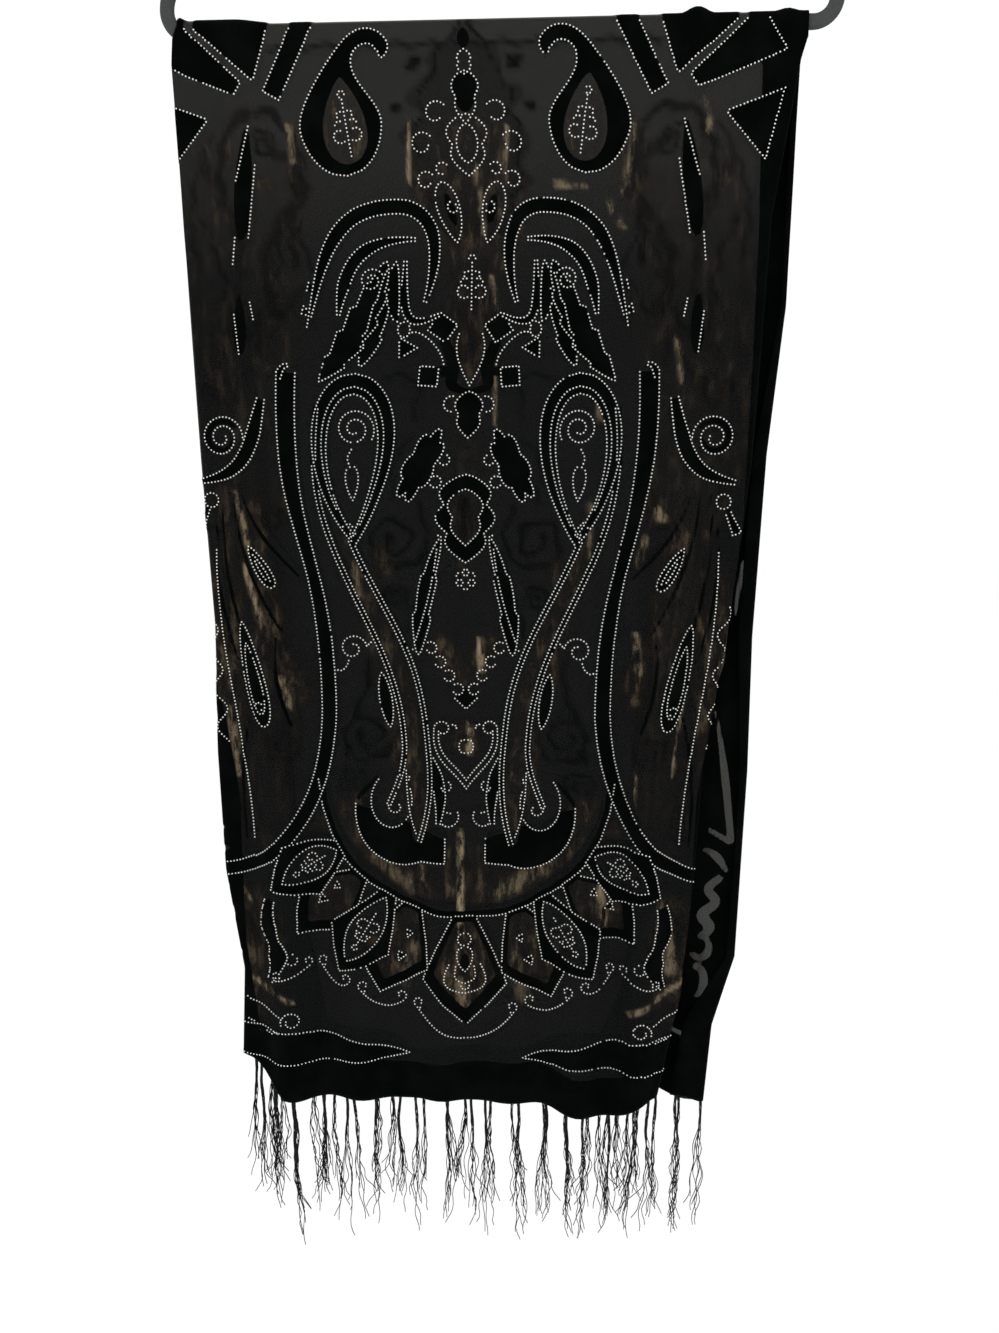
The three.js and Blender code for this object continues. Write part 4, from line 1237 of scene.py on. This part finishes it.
def makeFringe(name, fallName):
    rng = random.Random(fringe["seed"] + (0 if fallName == "front" else 50))
    grid = grids[fallName]
    hem = grid[-1]
    order = np.argsort(hem[:, 3])
    pitch = 2 * cloth["halfWidth"] / fringe["tassels"]
    outward = -1.0 if fallName == "front" else 1.0
    shapes = []
    for i in range(fringe["tassels"]):
        off = rng.uniform(-1, 1) * fringe["uneven"]
        u = -cloth["halfWidth"] + pitch * (i + 0.5) + off
        root = [float(np.interp(u, hem[order, 3], hem[order, axis])) for axis in range(3)]
        long = fringe["length"] * rng.uniform(*fringe["lengthShare"])
        shapes += tasselShapes(root, outward, rng, long)
    # the heading cord that the tassels are knotted on
    cord = hem[order, :3][::2] - [0, 0, 0.3]
    shapes.append(tube(cord, np.full(len(cord), 0.55), 5))
    points, faces = joinShapes(shapes)
    return meshPiece(name, points, faces, threadMaterial)


fringeFront = makeFringe("fringe_front", "front")
fringeBack = makeFringe("fringe_back", "back")
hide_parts("front_fringe")
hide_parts("back_fringe")
print("fringes hung:", len(fringeFront.data.polygons), len(fringeBack.data.polygons), "faces")


# The hanger: a flat-sided section swept round the frame

hanger = {
    "width": 445.0,
    "barHeight": 9.5,
    "barThick": 6.0,
    "barTop": -225.0,
    "corner": 14.5,
    "shoulder": 25.0,
    "slope": math.radians(25),
    "apex": 20.0,
    "wire": 3.5,
    "hookInside": 20.0,
    "bossTop": -86.0,
    "bossRadius": 6.5,
    "seamGroove": 0.35,
}


def select(piece, test):
    # picks the points that pass the test, in edit mode's own terms
    bpy.ops.object.mode_set(mode="OBJECT")
    for v in piece.data.vertices:
        v.select = bool(test(v.co / mm))
    for e in piece.data.edges:
        e.select = all(piece.data.vertices[i].select for i in e.vertices)
    for f in piece.data.polygons:
        f.select = all(piece.data.vertices[i].select for i in f.vertices)
    bpy.ops.object.mode_set(mode="EDIT")


def cleanMesh(gap):
    # joins the active mesh's points that are this close, and turns its faces outwards
    bpy.ops.object.mode_set(mode="EDIT")
    bpy.ops.mesh.select_all(action="SELECT")
    bpy.ops.mesh.remove_doubles(threshold=gap * mm)
    bpy.ops.mesh.normals_make_consistent(inside=False)
    bpy.ops.object.mode_set(mode="OBJECT")


def sweepStraight(dx, dz, cuts):
    for _ in range(cuts):
        bpy.ops.mesh.extrude_region_move(
            TRANSFORM_OT_translate={"value": (dx * mm / cuts, 0.0, dz * mm / cuts)})


def makeHanger():
    h = hanger
    cornerStart = h["width"] / 2 - h["barHeight"] / 2 - h["corner"]
    barMiddle = h["barTop"] - h["barHeight"] / 2
    cornerZ = barMiddle + h["corner"]
    shoulderX = cornerStart + h["corner"] - h["shoulder"]
    slopeX = shoulderX + h["shoulder"] * math.sin(h["slope"])
    slopeZ = cornerZ + h["shoulder"] * math.cos(h["slope"])
    apexX = h["apex"] * math.sin(h["slope"])
    rise = (slopeX - apexX) * math.tan(h["slope"])
    apexCentre = slopeZ + rise - h["apex"] * math.cos(h["slope"])
    deselectAll()
    bpy.ops.mesh.primitive_circle_add(vertices=24, radius=h["barThick"] / 2 * mm, fill_type="NOTHING",
                                      location=(0, 0, 0))
    ring = bpy.context.active_object
    ring.name = "hanger_flocked"
    straight = (h["barHeight"] - h["barThick"]) / 2
    for v in ring.data.vertices:
        # stand the section up, stretch it to the bar's height and press in the mould's parting line
        side, up = v.co.x / mm, v.co.y / mm
        up += straight if up > 1e-6 else (-straight if up < -1e-6 else 0.0)
        if abs(up) < 0.01:
            side *= 1 - h["seamGroove"] / (h["barThick"] / 2)
        v.co = Vector((0.0, side * mm, (barMiddle + up) * mm))
    bpy.ops.object.mode_set(mode="EDIT")
    bpy.ops.mesh.select_all(action="SELECT")
    sweepStraight(cornerStart, 0.0, 6)
    bpy.ops.mesh.spin(steps=14, angle=math.pi / 2, axis=(0, 1, 0), center=(cornerStart * mm, 0, cornerZ * mm))
    bpy.ops.mesh.spin(steps=12, angle=math.pi / 2 - h["slope"], axis=(0, 1, 0),
                      center=(shoulderX * mm, 0, cornerZ * mm))
    sweepStraight(apexX - slopeX, rise, 6)
    bpy.ops.mesh.spin(steps=8, angle=h["slope"], axis=(0, 1, 0), center=(0, 0, apexCentre * mm))
    bpy.ops.object.mode_set(mode="OBJECT")
    mirror = ring.modifiers.new("otherHalf", "MIRROR")
    mirror.use_axis = (True, False, False)
    mirror.use_clip = True
    mirror.merge_threshold = 0.00005
    applyAll(ring)
    cleanMesh(0.02)
    top = apexCentre + h["apex"]

    deselectAll()
    bpy.ops.mesh.primitive_cone_add(vertices=40, radius1=h["bossRadius"] * mm,
                                    radius2=h["bossRadius"] * 0.8 * mm, depth=(h["bossTop"] - top) * mm,
                                    location=(0, 0, (h["bossTop"] + top) / 2 * mm))
    boss = bpy.context.active_object
    boss.name = "hanger_boss"
    select(boss, lambda p: p.z > (h["bossTop"] - top) / 2 - 0.01)
    bpy.ops.mesh.bevel(offset=0.8 * mm, segments=3)
    bpy.ops.object.mode_set(mode="OBJECT")
    applyAll(boss)
    # a hole for the wire, so that the stem stands in the boss and not through a solid
    deselectAll()
    bpy.ops.mesh.primitive_cylinder_add(vertices=32, radius=(h["wire"] / 2 + 0.3) * mm, depth=15 * mm,
                                        location=(0, 0, (h["bossTop"] - 14 + 7.5) * mm))
    drill = bpy.context.active_object
    for target, other, kind in ((boss, ring, "UNION"), (boss, drill, "DIFFERENCE")):
        cut = target.modifiers.new("join", "BOOLEAN")
        cut.operation = kind
        cut.solver = "EXACT"
        cut.object = other
        applyAll(target)
    for spare in (ring, drill):
        bpy.data.objects.remove(spare, do_unlink=True)
    boss.name = "hanger_flocked"
    boss.data.name = "hanger_flocked"
    boss.data.materials.clear()
    boss.data.materials.append(flockMaterial)
    makeActive(boss)
    bpy.ops.object.shade_smooth_by_angle(angle=math.radians(35))
    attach(boss, "root")
    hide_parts("hanger_frame")


def makeHook():
    h = hanger
    radius = h["hookInside"] + h["wire"] / 2
    centre = -h["hookInside"]
    points = []
    for i in range(19):
        angle = math.radians(mix(205, -48, i / 18))
        points.append((radius * math.cos(angle), 0.0, centre + radius * math.sin(angle)))
    stemTop = centre - radius - 14
    points += [(3.2, 0, stemTop + 9.5), (0, 0, stemTop), (0, 0, (stemTop + h["bossTop"]) / 2),
               (0, 0, h["bossTop"] - 13.7)]
    curve = bpy.data.curves.new("hook_wire", "CURVE")
    curve.dimensions = "3D"
    curve.bevel_depth = h["wire"] / 2 * mm
    curve.bevel_resolution = 4
    curve.resolution_u = 6
    curve.use_fill_caps = True
    spline = curve.splines.new("NURBS")
    spline.points.add(len(points) - 1)
    for p, spot in zip(spline.points, points):
        p.co = (spot[0] * mm, spot[1] * mm, spot[2] * mm, 1.0)
    spline.use_endpoint_u = True
    spline.order_u = 3
    wire = bpy.data.objects.new("hook_wire", curve)
    scene.collection.objects.link(wire)
    makeActive(wire)
    bpy.ops.object.convert(target="MESH")
    wire = bpy.context.active_object
    cleanMesh(0.01)
    bpy.ops.object.shade_smooth_by_angle(angle=math.radians(50))
    wire.data.materials.clear()
    wire.data.materials.append(steelMaterial)
    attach(wire, "root")
    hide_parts("hanger_hook")


makeHanger()
makeHook()
print("hanger made")



# Floor, light and camera

studio = {
    "floorZ": -1.62,
    "world": 1.03,
    "key": 9.0,
    "fill": 3.0,
    "lens": 27.03,
    "eye": (0.0433, -0.713, -0.5249),
    "yaw": 3.21,
    "pitch": 10.05,
    "roll": 0.15,
}


def makeStage():
    deselectAll()
    bpy.ops.mesh.primitive_plane_add(size=30.0, location=(0, 0, studio["floorZ"]))
    floor = bpy.context.active_object
    floor.name = "studio_floor"
    paint = newMaterial("paleStudioFloor")
    skin = addNode(paint, "BsdfPrincipled",
                   {"Base Color": (0.97, 0.97, 0.97, 1.0), "Roughness": 0.9, "Specular IOR Level": 0.1})
    addNode(paint, "OutputMaterial", Surface=skin)
    floor.data.materials.append(paint)
    world = bpy.data.worlds.new("studioSky")
    scene.world = world
    world.use_nodes = True
    sky = world.node_tree.nodes["Background"]
    sky.inputs["Color"].default_value = (1.0, 1.0, 1.0, 1.0)
    sky.inputs["Strength"].default_value = studio["world"]
    for name, place, size, power in (("key", (-1.3, -1.9, 0.9), 1.4, studio["key"]),
                                     ("fill", (1.7, -1.5, 0.1), 1.6, studio["fill"])):
        lamp = bpy.data.lights.new(name, "AREA")
        lamp.size = size
        lamp.energy = power
        lampObject = bpy.data.objects.new(name, lamp)
        scene.collection.objects.link(lampObject)
        lampObject.location = place
        aim = Vector((0, 0, -0.6)) - Vector(place)
        lampObject.rotation_euler = aim.to_track_quat("-Z", "Y").to_euler()


def makeCamera():
    yaw, pitch, roll = (math.radians(studio[k]) for k in ("yaw", "pitch", "roll"))
    ahead = Vector((-math.sin(yaw) * math.cos(pitch), math.cos(yaw) * math.cos(pitch), -math.sin(pitch)))
    right = Vector((math.cos(yaw), math.sin(yaw), 0.0))
    up = right.cross(ahead)
    right, up = (math.cos(roll) * right + math.sin(roll) * up, -math.sin(roll) * right + math.cos(roll) * up)
    lens = bpy.data.cameras.new("camera")
    lens.lens = studio["lens"]
    lens.sensor_width = 36.0
    lens.clip_start = 0.01
    camera = bpy.data.objects.new("camera", lens)
    scene.collection.objects.link(camera)
    turn = Matrix((right, up, -ahead)).transposed()
    camera.matrix_world = Matrix.Translation(studio["eye"]) @ turn.to_4x4()
    scene.camera = camera


makeStage()
makeCamera()
scene.view_settings.view_transform = "Standard"
print("stage set")
